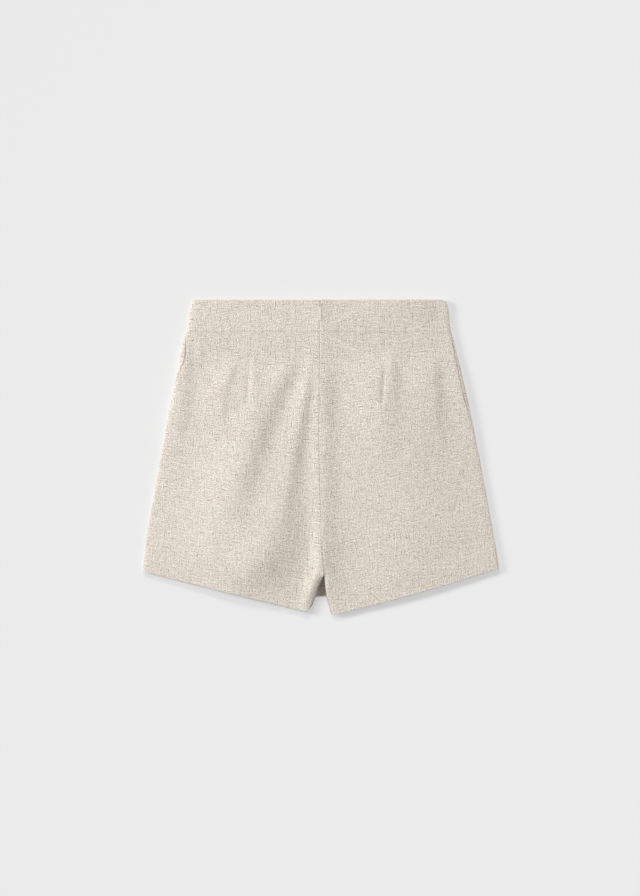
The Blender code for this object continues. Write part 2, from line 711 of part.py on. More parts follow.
def pocket_bag(side):
    """A flat pocket bag between the layers, open to the mouth in the side seam."""
    sign = -1.0 if side == "left" else 1.0
    outer_rows, inner_rows = [], []
    for share in np.linspace(0.0, 1.0, BAG_ROWS + 1):
        down = BAG_TOP_DOWN + (BAG_END_DOWN - BAG_TOP_DOWN) * float(share)
        near = abs(float(side_x(side, down))) - BAG_SIDE_MARGIN
        near = near - BAG_FOOT_INSET * float(step(0.5, 1.0, share)) ** 1.5
        width = BAG_WIDTH * (BAG_TOP_SHARE + (1.0 - BAG_TOP_SHARE) * float(step(0.0, 0.5, share)))
        past = max((float(share) - BAG_ROUND_START) / BAG_ROUND_LENGTH, 0.0)
        width = width * math.sqrt(max(1.0 - past**BAG_ROUND_POWER, BAG_FOOT_SQUARE))
        far = near - width
        outer = [(sign * x, down, BAG_HEIGHT) for x in np.linspace(far, near, BAG_STEPS + 1)]
        inner = [(x, y, BAG_HEIGHT + BAG_CLOTH) for x, y, _ in outer]
        outer_rows.append(outer)
        inner_rows.append(inner)
    return sheet_wall(
        side + "_pocket_bag", np.array(outer_rows), np.array(inner_rows), POCKETING
    )


def tape_top(x, down):
    """Upper face of the zip tape, just under the band and then under the panels."""
    band = BAND_CLOTH + TAPE_CLEARANCE
    panel = CLOTH + TAPE_PANEL_CLEARANCE
    below = band + (panel - band) * float(step(*TAPE_STEP, down))
    return float(upper_height(x, down)) - below


def zip_tape(side):
    """One tape of the closed zip, with its half of the coil along the inner edge."""
    sign = -1.0 if side == "left" else 1.0
    outer_rows, inner_rows = [], []
    for down in (ZIP_TOP_DOWN, *TAPE_ROWS, ZIP_END_DOWN):
        middle = float(centre_x(down))
        edge = TAPE_TOP_GAP if down < TAPE_STOP_DOWN else COIL_HALF_GAP
        coil = 0.0 if down < TAPE_STOP_DOWN else COIL_THICKNESS - TAPE_THICKNESS
        offsets = (
            (TAPE_WIDTH, 0.0),
            (TAPE_MIDDLE, 0.0),
            (edge + COIL_WIDTH + SEAM_GAP, 0.0),
            (edge + COIL_WIDTH, coil),
            (edge, coil),
        )
        outer, inner = [], []
        for offset, extra in offsets:
            x = middle + sign * offset
            z = tape_top(x, down)
            outer.append((x, down, z))
            inner.append((x, down, z - TAPE_THICKNESS - extra))
        outer_rows.append(outer)
        inner_rows.append(inner)
    return sheet_wall(
        "zip_" + side + "_tape", np.array(outer_rows), np.array(inner_rows), ZIP_TAPE
    )


def tab_axis():
    """The line that the pull tab swings on, as a point in millimetres."""
    x = float(centre_x(TAB_AXIS_DOWN))
    under = max(
        float(upper_height(x + aside, down)) for aside in TAB_REST_SIDES for down in TAB_REST_DOWNS
    )
    return (x, to_y(TAB_AXIS_DOWN), under + TAB_CLEARANCE + TAB_THICKNESS / 2.0)


def frame_plate(name, columns, rows, holes, thickness, across, finish, origin, widen=None):
    """A plate of grid cells with some left out, extruded, in the plane that across names."""
    work = bmesh.new()
    made = bmesh.ops.create_grid(
        work, x_segments=len(columns) - 1, y_segments=len(rows) - 1, size=0.5
    )["verts"]
    cells = {}
    for face in work.faces:
        centre = face.calc_center_median()
        column = int((centre.x + 0.5) * (len(columns) - 1))
        row = int((centre.y + 0.5) * (len(rows) - 1))
        cells[(column, row)] = face
    for vert in made:
        column = round((vert.co.x + 0.5) * (len(columns) - 1))
        row = round((vert.co.y + 0.5) * (len(rows) - 1))
        vert.co = (columns[column], rows[row], 0.0)
    bmesh.ops.delete(work, geom=[cells[hole] for hole in holes], context="FACES")
    kept = list(work.faces)
    lifted = bmesh.ops.extrude_face_region(work, geom=kept)["geom"]
    tops = [item for item in lifted if isinstance(item, bmesh.types.BMVert)]
    bmesh.ops.translate(work, vec=(0.0, 0.0, thickness), verts=tops)
    bmesh.ops.translate(work, vec=(0.0, 0.0, -thickness / 2.0), verts=list(work.verts))
    if across == "x":
        for vert in work.verts:
            vert.co = (vert.co.z, vert.co.x, vert.co.y)
    bmesh.ops.recalc_face_normals(work, faces=list(work.faces))
    if widen:
        limit, amount = widen
        for sign in (-1.0, 1.0):
            flank = [
                face for face in work.faces
                if face.normal.x * sign > 0.9 and face.calc_center_median().z < limit
            ]
            pulled = bmesh.ops.extrude_face_region(work, geom=flank)["geom"]
            points = [item for item in pulled if isinstance(item, bmesh.types.BMVert)]
            bmesh.ops.translate(work, vec=(sign * amount, 0.0, 0.0), verts=points)
            bmesh.ops.delete(work, geom=flank, context="FACES_ONLY")
    bmesh.ops.triangulate(work, faces=list(work.faces))
    bmesh.ops.recalc_face_normals(work, faces=list(work.faces))
    return to_object(name, work, finish, origin)


def zip_slider():
    """Slider under the band, with a bridge that comes up between the two back bands."""
    x, y, z = tab_axis()
    under = float(upper_height(x, TAB_AXIS_DOWN)) - BAND_CLOTH - TAPE_CLEARANCE
    top = under - z
    columns = (
        -SLIDER_BACK, -BRIDGE_OUTSIDE, -BRIDGE_INSIDE, BRIDGE_INSIDE, BRIDGE_OUTSIDE, SLIDER_FRONT
    )
    rows = (top - SLIDER_THICKNESS, top, BRIDGE_LOW, BRIDGE_TOP)
    holes = ((0, 1), (2, 1), (4, 1), (0, 2), (4, 2))
    flank = (SLIDER_WIDTH - BRIDGE_WIDTH) / 2.0
    return frame_plate(
        "zip_slider", columns, rows, holes, BRIDGE_WIDTH, "x", ZIP_METAL, (x, y, z), (top, flank)
    )


def zip_pull_tab():
    """Small pull tab that lies down on the band; its bar passes under the slider's bridge."""
    half = TAB_WIDTH / 2.0
    window = TAB_WINDOW_WIDTH / 2.0
    columns = (-half, -window, window, half)
    rows = (-TAB_LENGTH, -TAB_LENGTH + TAB_FOOT_BAR, -TAB_WINDOW_END, -TAB_BAR, TAB_BAR)
    return frame_plate(
        "zip_pull_tab", columns, rows, ((1, 2),), TAB_THICKNESS, "z", ZIP_METAL, tab_axis()
    )


def main():
    """Clears the scene and makes every piece."""
    for old in list(bpy.data.objects):
        bpy.data.objects.remove(old, do_unlink=True)
    for side in ("left", "right"):
        back_panel(side)
        front_panel(side)
        back_band(side)
        pocket_bag(side)
        zip_tape(side)
    front_band()
    zip_slider()
    zip_pull_tab()


main()
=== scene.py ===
"""Looks of short A-line linen culottes that lie flat on a table with their back side up.

Laid out as an add-on: one operator for each piece or group of like pieces and one for the stage.
X runs across the garment, +Y towards the waist, Z up. Shapes are worked out in millimetres;
"down" is a distance below the top edge of the waistband and "inset" one in from the outer face.
"""

import math
from collections import namedtuple

import bmesh
import bpy
import numpy as np
from bpy.props import FloatProperty, FloatVectorProperty, PointerProperty
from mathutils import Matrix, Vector


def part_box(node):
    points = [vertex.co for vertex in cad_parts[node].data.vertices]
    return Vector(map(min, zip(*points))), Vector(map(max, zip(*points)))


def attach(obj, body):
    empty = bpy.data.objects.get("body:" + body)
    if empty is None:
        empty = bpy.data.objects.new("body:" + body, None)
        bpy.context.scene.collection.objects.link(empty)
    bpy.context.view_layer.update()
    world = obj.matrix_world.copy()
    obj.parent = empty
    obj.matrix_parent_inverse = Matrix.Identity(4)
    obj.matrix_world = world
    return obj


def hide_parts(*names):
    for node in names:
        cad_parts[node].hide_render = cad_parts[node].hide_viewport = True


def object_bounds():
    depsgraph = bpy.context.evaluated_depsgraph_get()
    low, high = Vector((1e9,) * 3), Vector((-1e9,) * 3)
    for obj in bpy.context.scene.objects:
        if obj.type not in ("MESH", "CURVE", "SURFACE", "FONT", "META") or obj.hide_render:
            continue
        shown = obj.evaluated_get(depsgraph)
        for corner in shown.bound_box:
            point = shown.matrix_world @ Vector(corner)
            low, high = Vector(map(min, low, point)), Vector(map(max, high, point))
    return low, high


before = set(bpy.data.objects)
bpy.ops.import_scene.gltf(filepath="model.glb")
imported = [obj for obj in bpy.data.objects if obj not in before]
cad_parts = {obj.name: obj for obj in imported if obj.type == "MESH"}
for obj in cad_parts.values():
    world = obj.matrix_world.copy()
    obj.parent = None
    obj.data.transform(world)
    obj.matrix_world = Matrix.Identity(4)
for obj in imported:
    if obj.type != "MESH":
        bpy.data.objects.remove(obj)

CAD_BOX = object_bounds()

bl_info = {
    "name": "Linen culottes laid flat",
    "version": (1, 0, 0),
    "blender": (4, 5, 0),
    "location": "View3D > Sidebar > Culottes",
    "description": "Makes the cloth, sewing, zip and stage of short linen culottes laid flat",
    "category": "Object",
}

MM = 0.001
GARMENT = "garment"

# Lengths of the garment in millimetres, the first two read from the solids in model.glb
TOTAL_LENGTH = round((CAD_BOX[1].y - CAD_BOX[0].y) / MM, 1)
WAISTBAND_DEPTH = TOTAL_LENGTH / 2.0 - round(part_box("back_left_waistband")[0].y / MM, 2)
CROTCH_DOWN = 365.0
SIDE_LENGTH = {"left": 361.0, "right": 356.5}
LEG_FOOT = {"left": 414.3, "right": 418.0}
LEG_WALL_FOOT = {"left": 407.2, "right": 418.0}
FRONT_FOOT = {"left": 407.2, "right": 395.0}
HEM_BOW = {"left": 0.0, "right": 2.8}    # how far a hem bends out from a straight line
LEFT_HEM_ENDS = (-236.0, -20.6)
RIGHT_HEM_ENDS = (20.0, 237.0)
SIGN = {"left": -1.0, "right": 1.0}

# Cloth
HALF_GAP = 0.15               # half the gap between two pieces at a seam
BAND_CLOTH = 2.4              # waistband, folded double
HEM_FOLD = 1.3                # from the outer face of a hem to the face turned up inside
HEM_DEPTH = 25.0
HEM_SOLID = 2.2               # height of the lower layer's hem
HEM_RIDGE = 0.06              # where the hem's turned edge shows through
HEM_RIDGE_WIDTH = 2.5
FORK_ROW = 0.868              # share of a panel's length above the fork
PANEL_START = WAISTBAND_DEPTH + 2.0 * HALF_GAP

# Lie of the upper layer. A pair is the two places that a change runs between
REST_HEIGHT = 4.4
LOWEST_HEIGHT = 4.3
CREASE_LOW = 0.2              # creases may dip this far below the lowest height
BAND_LIFT = 2.0
BAND_FADE = (36.0, 82.0)
BAND_SIDE_DROP = 1.1
BAND_STEP = {"left": 0.18, "right": 0.03}  # the band stands proud of the panels
BAND_STEP_CHANGE = (-60.0, 60.0)
BAND_STEP_FADE = 12.0
BAND_EDGE_RIDGE = 0.42        # where the seam allowances lie inside the band
BAND_RIDGE_WIDTH = 1.7
BAND_TOP_TILT = 3.3           # the right half stands higher along its top edge
TILT_START = (0.0, 110.0)
TILT_END = (132.0, 168.0)
TILT_FADE = (2.0, 44.0)
HEM_LIFT = 0.75
HEM_LIFT_REACH = (24.0, 46.0)
HEM_SETTLE = 0.75             # share of the folds' height that is lost at the hem
HEM_SETTLE_REACH = 56.0
SIDE_LIFT = {"left": 0.8, "right": 0.1}
SIDE_LIFT_WIDTH = 22.0
SIDE_LIFT_FADE = (170.0, 260.0)
ZIP_LIFT = 1.2
ZIP_LIFT_WIDTH = 16.0
ZIP_END_DOWN = 146.0
ZIP_FADE = (142.0, 180.0)
TAB_SWELL = 0.7               # of the band beside the pull tab
TAB_SWELL_START = (-0.2, 1.4)
TAB_SWELL_WIDTH = 7.0
TAB_SWELL_FADE = (20.0, 30.0)

# Centre back seam and the fork of the legs
SEAM_TURN = 1.4               # width over which cloth turns down into the seam
FORK_TURN = 4.2               # the same at the fork
FORK_TURN_START = 290.0
SEAM_GROOVE = 0.6
SEAM_FLATTENS = (255.0, 300.0)
SEAM_FLATTENED = 0.8          # share of the groove that the slack smooths out past there
SEAM_HALF_GAP = 0.04          # cloth edges that meet
ZIP_EDGE_DROP = {"left": 0.25, "right": 0.4}
ZIP_HALF_GAP = 0.06           # the edges over the concealed zip don't quite meet
ZIP_END_FADE = 6.0
SLOT_HALF_GAP = 0.8           # more at the top, where the zip's bridge comes through
SLOT_FADE = (9.5, 14.0)
FORK_OPENING = (-1.0, 9.0)    # lengths from the fork, between which the edges come loose
LEG_EDGE_CLEARANCE = 0.4      # edge of a loose leg above the lower layer

# Side roll
ROLL_REACH = 10.0
ROLL_HEIGHT = 3.0
ROLL_SQUARENESS = 1.45        # 1 is an ellipse, more keeps the cloth flat nearer to its edge
BAND_ROLL_HEIGHT = 3.1
SLIT_HALF_GAP = {"left": 0.2, "right": 0.45}
MOUTH_START = (-8.0, 4.0)     # lengths from a pocket mouth's two ends, where it opens
MOUTH_STOP = (-4.0, 8.0)      # and where it closes

SideRow = namedtuple("SideRow", "down left right")
SIDE_OUTLINE = (
    SideRow(0.0, 169.0, 160.5),
    SideRow(1.5, 171.2, 164.4),
    SideRow(5.0, 172.3, 166.9),
    SideRow(12.0, 173.3, 168.8),
    SideRow(21.0, 174.3, 169.4),
    SideRow(37.0, 176.9, 170.9),
    SideRow(46.0, 180.0, 174.0),
    SideRow(60.0, 184.4, 177.4),
    SideRow(84.0, 188.5, 183.4),
    SideRow(120.0, 195.9, 191.9),
    SideRow(150.0, 202.4, 198.2),
    SideRow(202.0, 211.4, 208.7),
    SideRow(254.0, 221.0, 218.4),
    SideRow(307.0, 230.6, 228.2),
    SideRow(340.0, 234.8, 233.8),
    SideRow(361.0, 236.5, 236.8),
)

SeamRow = namedtuple("SeamRow", "down x")
CENTRE_SEAM = (
    SeamRow(0.0, -1.6),
    SeamRow(129.7, -2.2),
    SeamRow(165.0, -2.6),
    SeamRow(205.0, -2.5),
    SeamRow(252.0, -1.2),
    SeamRow(300.0, 0.3),
    SeamRow(339.8, 1.5),
    SeamRow(365.0, 3.9),
)

LegRow = namedtuple("LegRow", "down turn_left edge_left edge_right turn_right")
LEG_EDGES = (
    LegRow(340.0, -2.4, 1.5, 1.5, 5.1),
    LegRow(355.0, -3.4, 2.9, 2.9, 6.4),
    LegRow(365.0, -5.8, 3.7, 4.0, 8.0),
    LegRow(370.4, -8.0, 2.0, 4.1, 8.2),
    LegRow(378.4, -11.0, -1.4, 4.7, 8.9),
    LegRow(391.7, -15.8, -6.0, 6.8, 11.0),
    LegRow(405.0, -19.6, -11.5, 10.3, 14.6),
    LegRow(418.0, -20.8, -16.6, 13.7, 18.2),
)

WrapRow = namedtuple("WrapRow", "down left right")
SIDE_WRAP = (
    WrapRow(41.0, 0.0, 0.0),
    WrapRow(52.0, 3.0, 1.6),
    WrapRow(62.0, 5.6, 2.4),
    WrapRow(72.0, 7.0, 2.8),
    WrapRow(82.0, 6.4, 3.1),
    WrapRow(90.0, 4.2, 3.4),
    WrapRow(99.0, 2.2, 3.8),
    WrapRow(112.0, 0.0, 4.4),
    WrapRow(124.0, 0.0, 4.3),
    WrapRow(138.0, 0.0, 3.4),
    WrapRow(150.0, 0.0, 1.8),
    WrapRow(166.0, 0.0, 0.5),
    WrapRow(180.0, 0.0, 0.0),
)
POCKET_MOUTH = {"left": (56.0, 104.0), "right": (56.0, 142.0)}

Dart = namedtuple("Dart", "top_x end_x end_down hem_x depth")
DARTS = {
    "left": Dart(-95.6, -96.6, 137.0, -118.0, 0.9),
    "right": Dart(87.4, 80.6, 143.0, 102.0, 1.9),
}
DART_WIDTH = 2.1
DART_START = (-62.0, -30.0)   # lengths from a dart's end, between which its valley deepens
DART_STOP = (-14.0, 4.0)      # and fades out
DART_BULGE = 0.35             # small bulge past its end
DART_BULGE_PAST = 12.0
DART_BULGE_LENGTH = 14.0
DART_BULGE_WIDTH = 8.0

# Slack folds, the largest first, then creases that only the shells carry
Fold = namedtuple(
    "Fold",
    "name top mid foot x_top x_mid x_foot "
    "left_top left_foot right_top right_foot height fade_top fade_foot",
)
FOLDS = (
    Fold("left leg swell", 60, 230, 420, -104, -112, -112, 44, 56, 40, 50, 4.2, 70, 150),
    Fold("left hem swell", 150, 330, 540, -108, -120, -136, 44, 58, 56, 52, 6.2, 190, 60),
    Fold("right leg swell", 60, 240, 480, 112, 118, 130, 52, 62, 48, 60, 3.4, 70, 60),
    Fold("main slack fold", 66, 213, 330, -10, -38.5, -62, 7, 40, 7, 17, 4.4, 66, 90),
    Fold("low slack fold", 215, 350, 430, -48, -79, -142, 24, 44, 28, 52, 9.0, 110, 20),
    Fold("second slack fold", 72, 165, 310, -37, -80, -128, 22, 40, 15, 24, 4.2, 36, 90),
    Fold("left hip fold", 68, 118, 190, -104, -128, -128, 18, 22, 6, 7, 1.9, 30, 50),
    Fold("left pocket edge", 50, 110, 230, -180, -184, -202, 11, 14, 12, 15, 2.3, 40, 90),
    Fold("seam ridge left", 70, 220, 400, -5, -6, -5, 7, 10, 6, 9, 1.8, 40, 30),
    Fold("seam ridge right", 76, 220, 330, 4, 5, 6, 8, 9, 13, 13, 2.9, 30, 60),
    Fold("fork lift left", 300, 366, 440, -3, -4, -20, 8, 8, 10, 10, 2.6, 60, 60),
    Fold("fork hem left", 350, 392, 470, -7, -15, -26, 9, 9, 9, 9, 6.0, 40, 40),
    Fold("fork lift right", 270, 366, 440, 2.5, 5, 15, 9, 10, 21, 22, 5.2, 60, 60),
    Fold("right seat fold", 66, 125, 250, 76, 78, 88, 32, 42, 20, 30, 4.4, 36, 100),
    Fold("right hip fold", 66, 130, 220, 146, 149, 155, 28, 32, 9, 15, 3.1, 36, 90),
    Fold("right pocket edge", 56, 110, 220, 180, 188, 204, 12, 14, 10, 12, 1.6, 36, 80),
)
CREASES = (
    Fold("main fold edge", 60, 100, 180, -12.5, -18, -34, 3, 8, 3, 6, 0.5, 20, 70),
    Fold("dart side left", 62, 110, 180, -89, -88.5, -90, 4, 8, 9, 12, 1.0, 36, 60),
    Fold("dart side right", 56, 100, 150, 92, 94.5, 97, 4, 8, 8, 10, 1.3, 25, 40),
    Fold("left pocket crease", 46, 74, 108, -158, -160, -163, 4, 6, 3, 4, 0.6, 16, 30),
)

# Unevenness of the cloth, and puckers that a seam draws into it. Across and along below 1
# stretch them that way, and 0 keeps them the same all the way
Uneven = namedtuple("Uneven", "height size seed across along")
WIDE_UNEVEN = Uneven(0.22, 31.0, 3, 1.0, 1.0)
SMALL_UNEVEN = Uneven(0.1, 11.0, 4, 1.0, 1.0)
BAND_UNEVEN = Uneven(0.18, 26.0, 8, 1.0, 1.0)
BAND_STEP_UNEVEN = Uneven(0.9, 24.0, 11, 1.0, 0.0)
BAND_PUCKERS = Uneven(0.12, 8.0, 9, 1.0, 0.4)
BAND_SEAM_PUCKERS = Uneven(0.2, 7.0, 5, 1.0, 0.3)
BAND_SEAM_REACH = 11.0
CENTRE_SEAM_PUCKERS = Uneven(0.16, 8.0, 6, 0.3, 1.0)
CENTRE_SEAM_REACH = 9.0

# Rows of the shells near the band's seam: lengths from it, and how far in the first ones lie
PANEL_TOP_ROWS = (-2.4, -0.4, 0.1, 0.6, 1.3, 2.2)
PANEL_TOP_INSETS = (1.2, 0.2, 0.05)
BAND_EDGE_ROWS = (0.35, 0.28, 0.0, -0.5, -1.0, -1.5, -2.2, -3.0, -4.0)
BAND_EDGE_INSETS = (0.2, 0.06)
BACK_ROWS = (165, 34)         # above and below the fork
FRONT_ROWS = (110, 26)
HEM_INNER_ROWS = 8
BAND_ROWS = 22
BAND_INNER_ROWS = 9
FACE_ROW = 9                  # lies on the outer face of every shell

# Columns of the shells
TURN_COLUMNS = 8              # round the edge at the centre seam
PANEL_COLUMNS = 104
ROLL_COLUMNS = 14             # round the side roll
FRONT_EDGE = (0.0, 0.4, 1.2, 2.6)          # lengths from the centre front seam
FRONT_EDGE_LIFT = (0.55, 0.16, 0.02, 0.0)  # and how far they stand up from the table
FRONT_COLUMNS = 41
FRONT_ROLL_COLUMNS = 16
BAND_TURN_COLUMNS = 5
BAND_COLUMNS = 84
BAND_ROLL_COLUMNS = 12
FRONT_BAND_COLUMNS = 68
FRONT_BAND_ROLL_COLUMNS = 9

# Tone of the weave, from 0 for dark yarn to 1 for pale
THREAD_STRIDE = 7.31          # from one thread's noise to the next one's
NEXT_THREAD = -0.45           # share of the next thread's tone that a thread has
NEXT_CROSSING = -0.16         # and of the four crossings around that a crossing has
WARP_STREAK = (3.7, 3.0, 0.75)   # seed, detail and roughness
WEFT_STREAK = (91.2, 2.0, 0.7)
WARP_TONE = 1.58
WEFT_TONE = 1.4
SLUB_START = 0.16
SLUB_TONE = 2.3
SPECK_RELIEF = 0.4
THREAD_TONE_RELIEF = 0.8
DARK_GRAIN = 0.86

# Painted shade: dark brown mixed into the linen's colour on the lower layer between the legs, and
# on the back legs' inner walls below the fork, where the legs shade them
FORK_PAINTED_SHADE = 0.8
FORK_PAINTED_SHADE_WIDTH = 12.0
FORK_PAINTED_SHADE_DOWN = (365.0, 395.0)
FORK_PAINTED_SHADE_X = (4.0, 1.0)
FORK_PAINTED_SHADE_START = (355.0, 368.0)
FORK_PAINTED_SHADE_HEM = (393.0, 395.0)
# less painted shade at the lower layer's hem
FORK_PAINTED_SHADE_LESS_AT_HEM = 0.6
# painted shade on the back legs' inner walls
WALL_PAINTED_SHADE = 0.75
WALL_PAINTED_SHADE_POWER = 1.5
WALL_PAINTED_SHADE_FADE = 6.0

# Stage
FLOOR_HALF = 6.0              # metres
FLOOR_DROP = 0.0002           # keeps the floor clear of the garment's flat underside
PICTURE_TALL = 896.0          # pixels
PICTURE_MIDDLE = (-1.0, 9.25)  # pixels from the garment's middle


# ---------------------------------------------------------------- the lie of the cloth


def step(low, high, value):
    """Rises smoothly from 0 at low to 1 at high."""
    share = np.clip((value - low) / (high - low), 0.0, 1.0)
    return share * share * (3.0 - 2.0 * share)


def read_row(table, column, down):
    """Reads one named column of a table at a depth, on a smooth curve through its rows."""
    depths = np.array([row.down for row in table])
    values = np.array([getattr(row, column) for row in table])
    slopes = np.gradient(values, depths)
    down = np.clip(down, depths[0], depths[-1])
    index = np.clip(np.searchsorted(depths, down) - 1, 0, len(depths) - 2)
    gap = depths[index + 1] - depths[index]
    share = (down - depths[index]) / gap
    square = share * share
    cube = square * share
    return (
        (2 * cube - 3 * square + 1) * values[index]
        + (cube - 2 * square + share) * gap * slopes[index]
        + (3 * square - 2 * cube) * values[index + 1]
        + (cube - square) * gap * slopes[index + 1]
    )


def straight_row(table, column, down):
    """Reads one named column of a table at a depth, on straight lines between its rows."""
    depths = [row.down for row in table]
    values = [getattr(row, column) for row in table]
    return np.interp(down, depths, values)


def three_point(down, depths, values):
    """A curve through three places, held straight past its ends."""
    near = np.clip(down, depths[0], depths[2])
    first = (near - depths[1]) * (near - depths[2])
    first = first / ((depths[0] - depths[1]) * (depths[0] - depths[2]))
    second = (near - depths[0]) * (near - depths[2])
    second = second / ((depths[1] - depths[0]) * (depths[1] - depths[2]))
    third = (near - depths[0]) * (near - depths[1])
    third = third / ((depths[2] - depths[0]) * (depths[2] - depths[1]))
    return first * values[0] + second * values[1] + third * values[2]


def fold_height(folds, x, down):
    """Height that a table of folds adds to the upper layer."""
    total = np.zeros_like(x * down)
    for fold in folds:
        places = (fold.top, fold.mid, fold.foot)
        crest = three_point(down, places, (fold.x_top, fold.x_mid, fold.x_foot))
        share = np.clip((down - fold.top) / (fold.foot - fold.top), 0.0, 1.0)
        left = fold.left_top + (fold.left_foot - fold.left_top) * share
        right = fold.right_top + (fold.right_foot - fold.right_top) * share
        width = np.where(x < crest, left, right)
        rise = step(fold.top, fold.top + fold.fade_top, down)
        fall = 1.0 - step(fold.foot - fold.fade_foot, fold.foot, down)
        total = total + fold.height * rise * fall * np.exp(-(((x - crest) / width) ** 2))
    return total


def uneven(kind, x, down):
    """Smooth uneven rises and dips, each about one size across."""
    rows = 61
    levels = np.random.default_rng(kind.seed).uniform(-1.0, 1.0, (rows, rows))
    across = x * kind.across / kind.size + 7.0 * kind.seed
    along = down * kind.along / kind.size + 3.0 * kind.seed
    column = np.floor(across).astype(int)
    row = np.floor(along).astype(int)
    across = across - column
    along = along - row
    across = across * across * (3.0 - 2.0 * across)
    along = along * along * (3.0 - 2.0 * along)
    top = levels[row % rows, column % rows] * (1.0 - across)
    top = top + levels[row % rows, (column + 1) % rows] * across
    base = levels[(row + 1) % rows, column % rows] * (1.0 - across)
    base = base + levels[(row + 1) % rows, (column + 1) % rows] * across
    return kind.height * (top * (1.0 - along) + base * along)


def side_x(side, down):
    """Outline of one side, as an X coordinate."""
    return SIGN[side] * read_row(SIDE_OUTLINE, side, down)


def centre_x(down):
    """Centre back seam, and the centre front seam under it."""
    return straight_row(CENTRE_SEAM, "x", down)


def hem_down(x):
    """Depth of the back hem at an X coordinate."""
    left = np.interp(x, LEFT_HEM_ENDS, (SIDE_LENGTH["left"], LEG_FOOT["left"]))
    right = np.interp(x, RIGHT_HEM_ENDS, (LEG_FOOT["right"], SIDE_LENGTH["right"]))
    start, end = RIGHT_HEM_ENDS
    return np.where(x < 0.0, left, right + bow("right", (x - start) / (end - start)))


def bow(side, share):
    """How far the hem lies outside a straight line, from the leg's inner edge to its side."""
    share = np.clip(share, 0.0, 1.0)
    return HEM_BOW[side] * 4.0 * share * (1.0 - share)


def dart_x(side, down):
    """A dart's line, which runs on to the hem along the grain."""
    dart = DARTS[side]
    places = (WAISTBAND_DEPTH, dart.end_down, float(hem_down(dart.hem_x)))
    return np.interp(down, places, (dart.top_x, dart.end_x, dart.hem_x))


def lie_height(x, down):
    """Outer height of the upper layer above the table, as the solids have it."""
    band_zone = 1.0 - step(*BAND_FADE, down)
    height = REST_HEIGHT + BAND_LIFT * band_zone
    height = height + HEM_LIFT * (1.0 - step(*HEM_LIFT_REACH, hem_down(x) - down))
    outline = np.where(x < 0.0, -side_x("left", down), side_x("right", down))
    inside = np.maximum(outline - np.abs(x) - ROLL_REACH, 0.0)
    side_lift = np.where(x < 0.0, SIDE_LIFT["left"], SIDE_LIFT["right"])
    side_lift = side_lift * (1.0 - step(*SIDE_LIFT_FADE, down))
    side_lift = side_lift - BAND_SIDE_DROP * band_zone
    height = height + side_lift * np.exp(-((inside / SIDE_LIFT_WIDTH) ** 2))
    zip_zone = 1.0 - step(*ZIP_FADE, down)
    zip_zone = zip_zone * np.exp(-(((x - centre_x(down)) / ZIP_LIFT_WIDTH) ** 2))
    height = height + ZIP_LIFT * zip_zone
    tilt = step(*TILT_START, x) * (1.0 - step(*TILT_END, x)) * (1.0 - step(*TILT_FADE, down))
    height = height + BAND_TOP_TILT * tilt
    settle = 1.0 - HEM_SETTLE * (1.0 - step(0.0, HEM_SETTLE_REACH, hem_down(x) - down))
    return np.maximum(height + settle * fold_height(FOLDS, x, down), LOWEST_HEIGHT)


def fine_height(x, down):
    """Small creases, puckers beside the seams and the cloth's own unevenness."""
    height = fold_height(CREASES, x, down)
    height = height + uneven(WIDE_UNEVEN, x, down) + uneven(SMALL_UNEVEN, x, down)
    below_band = np.maximum(down - WAISTBAND_DEPTH, 0.0)
    puckers = uneven(BAND_SEAM_PUCKERS, x, down)
    height = height + np.exp(-below_band / BAND_SEAM_REACH) * puckers
    from_seam = np.abs(x - centre_x(down))
    puckers = uneven(CENTRE_SEAM_PUCKERS, x, down)
    height = height + np.exp(-from_seam / CENTRE_SEAM_REACH) * puckers
    from_edge = (hem_down(x) - down - HEM_DEPTH) / HEM_RIDGE_WIDTH
    return height + HEM_RIDGE * np.exp(-(from_edge**2))


def dart_dip(x, down):
    """Valley along each dart, and the small bulge past its end."""
    dip = np.zeros_like(x * down)
    for side, dart in DARTS.items():
        away = x - dart_x(side, down)
        past = down - dart.end_down
        fade = step(*DART_START, past) * (1.0 - step(*DART_STOP, past))
        dip = dip + dart.depth * fade * np.exp(-((away / DART_WIDTH) ** 2))
        past = (past - DART_BULGE_PAST) / DART_BULGE_LENGTH
        bulge = np.exp(-(past**2)) * np.exp(-((away / DART_BULGE_WIDTH) ** 2))
        dip = dip - DART_BULGE * bulge
    return dip


def band_ridge(down):
    """The seam allowances that lie inside the band raise a line along its seam."""
    return BAND_EDGE_RIDGE * np.exp(-(((down - WAISTBAND_DEPTH) / BAND_RIDGE_WIDTH) ** 2))


def panel_lie(x, down):
    """Outer height of the back panels with every crease."""
    change = step(*BAND_STEP_CHANGE, x)
    low = BAND_STEP["left"] + (BAND_STEP["right"] - BAND_STEP["left"]) * change
    low = low * (1.0 + uneven(BAND_STEP_UNEVEN, x, down))
    low = low * (1.0 - step(WAISTBAND_DEPTH, WAISTBAND_DEPTH + BAND_STEP_FADE, down))
    height = lie_height(x, down) - low + fine_height(x, down) - dart_dip(x, down)
    return np.maximum(height + band_ridge(down), LOWEST_HEIGHT - CREASE_LOW)


def band_lie(x, down):
    """Outer height of the back waistband."""
    height = lie_height(x, down) + uneven(BAND_UNEVEN, x, down)
    start, end = TAB_SWELL_START
    swell = step(start, end, x) * np.exp(-((np.maximum(x - end, 0.0) / TAB_SWELL_WIDTH) ** 2))
    swell = swell * (1.0 - step(*TAB_SWELL_FADE, down))
    height = height + TAB_SWELL * swell + band_ridge(down)
    return height + uneven(BAND_PUCKERS, x, down)


def line_down(share, foot):
    """Depth of a row on a line from the band's seam past the fork to a foot."""
    return np.interp(share, (0.0, FORK_ROW, 1.0), (PANEL_START, CROTCH_DOWN, foot))


def side_down(side, share):
    """Depth of a row at the side seam."""
    return PANEL_START + (SIDE_LENGTH[side] - PANEL_START) * share


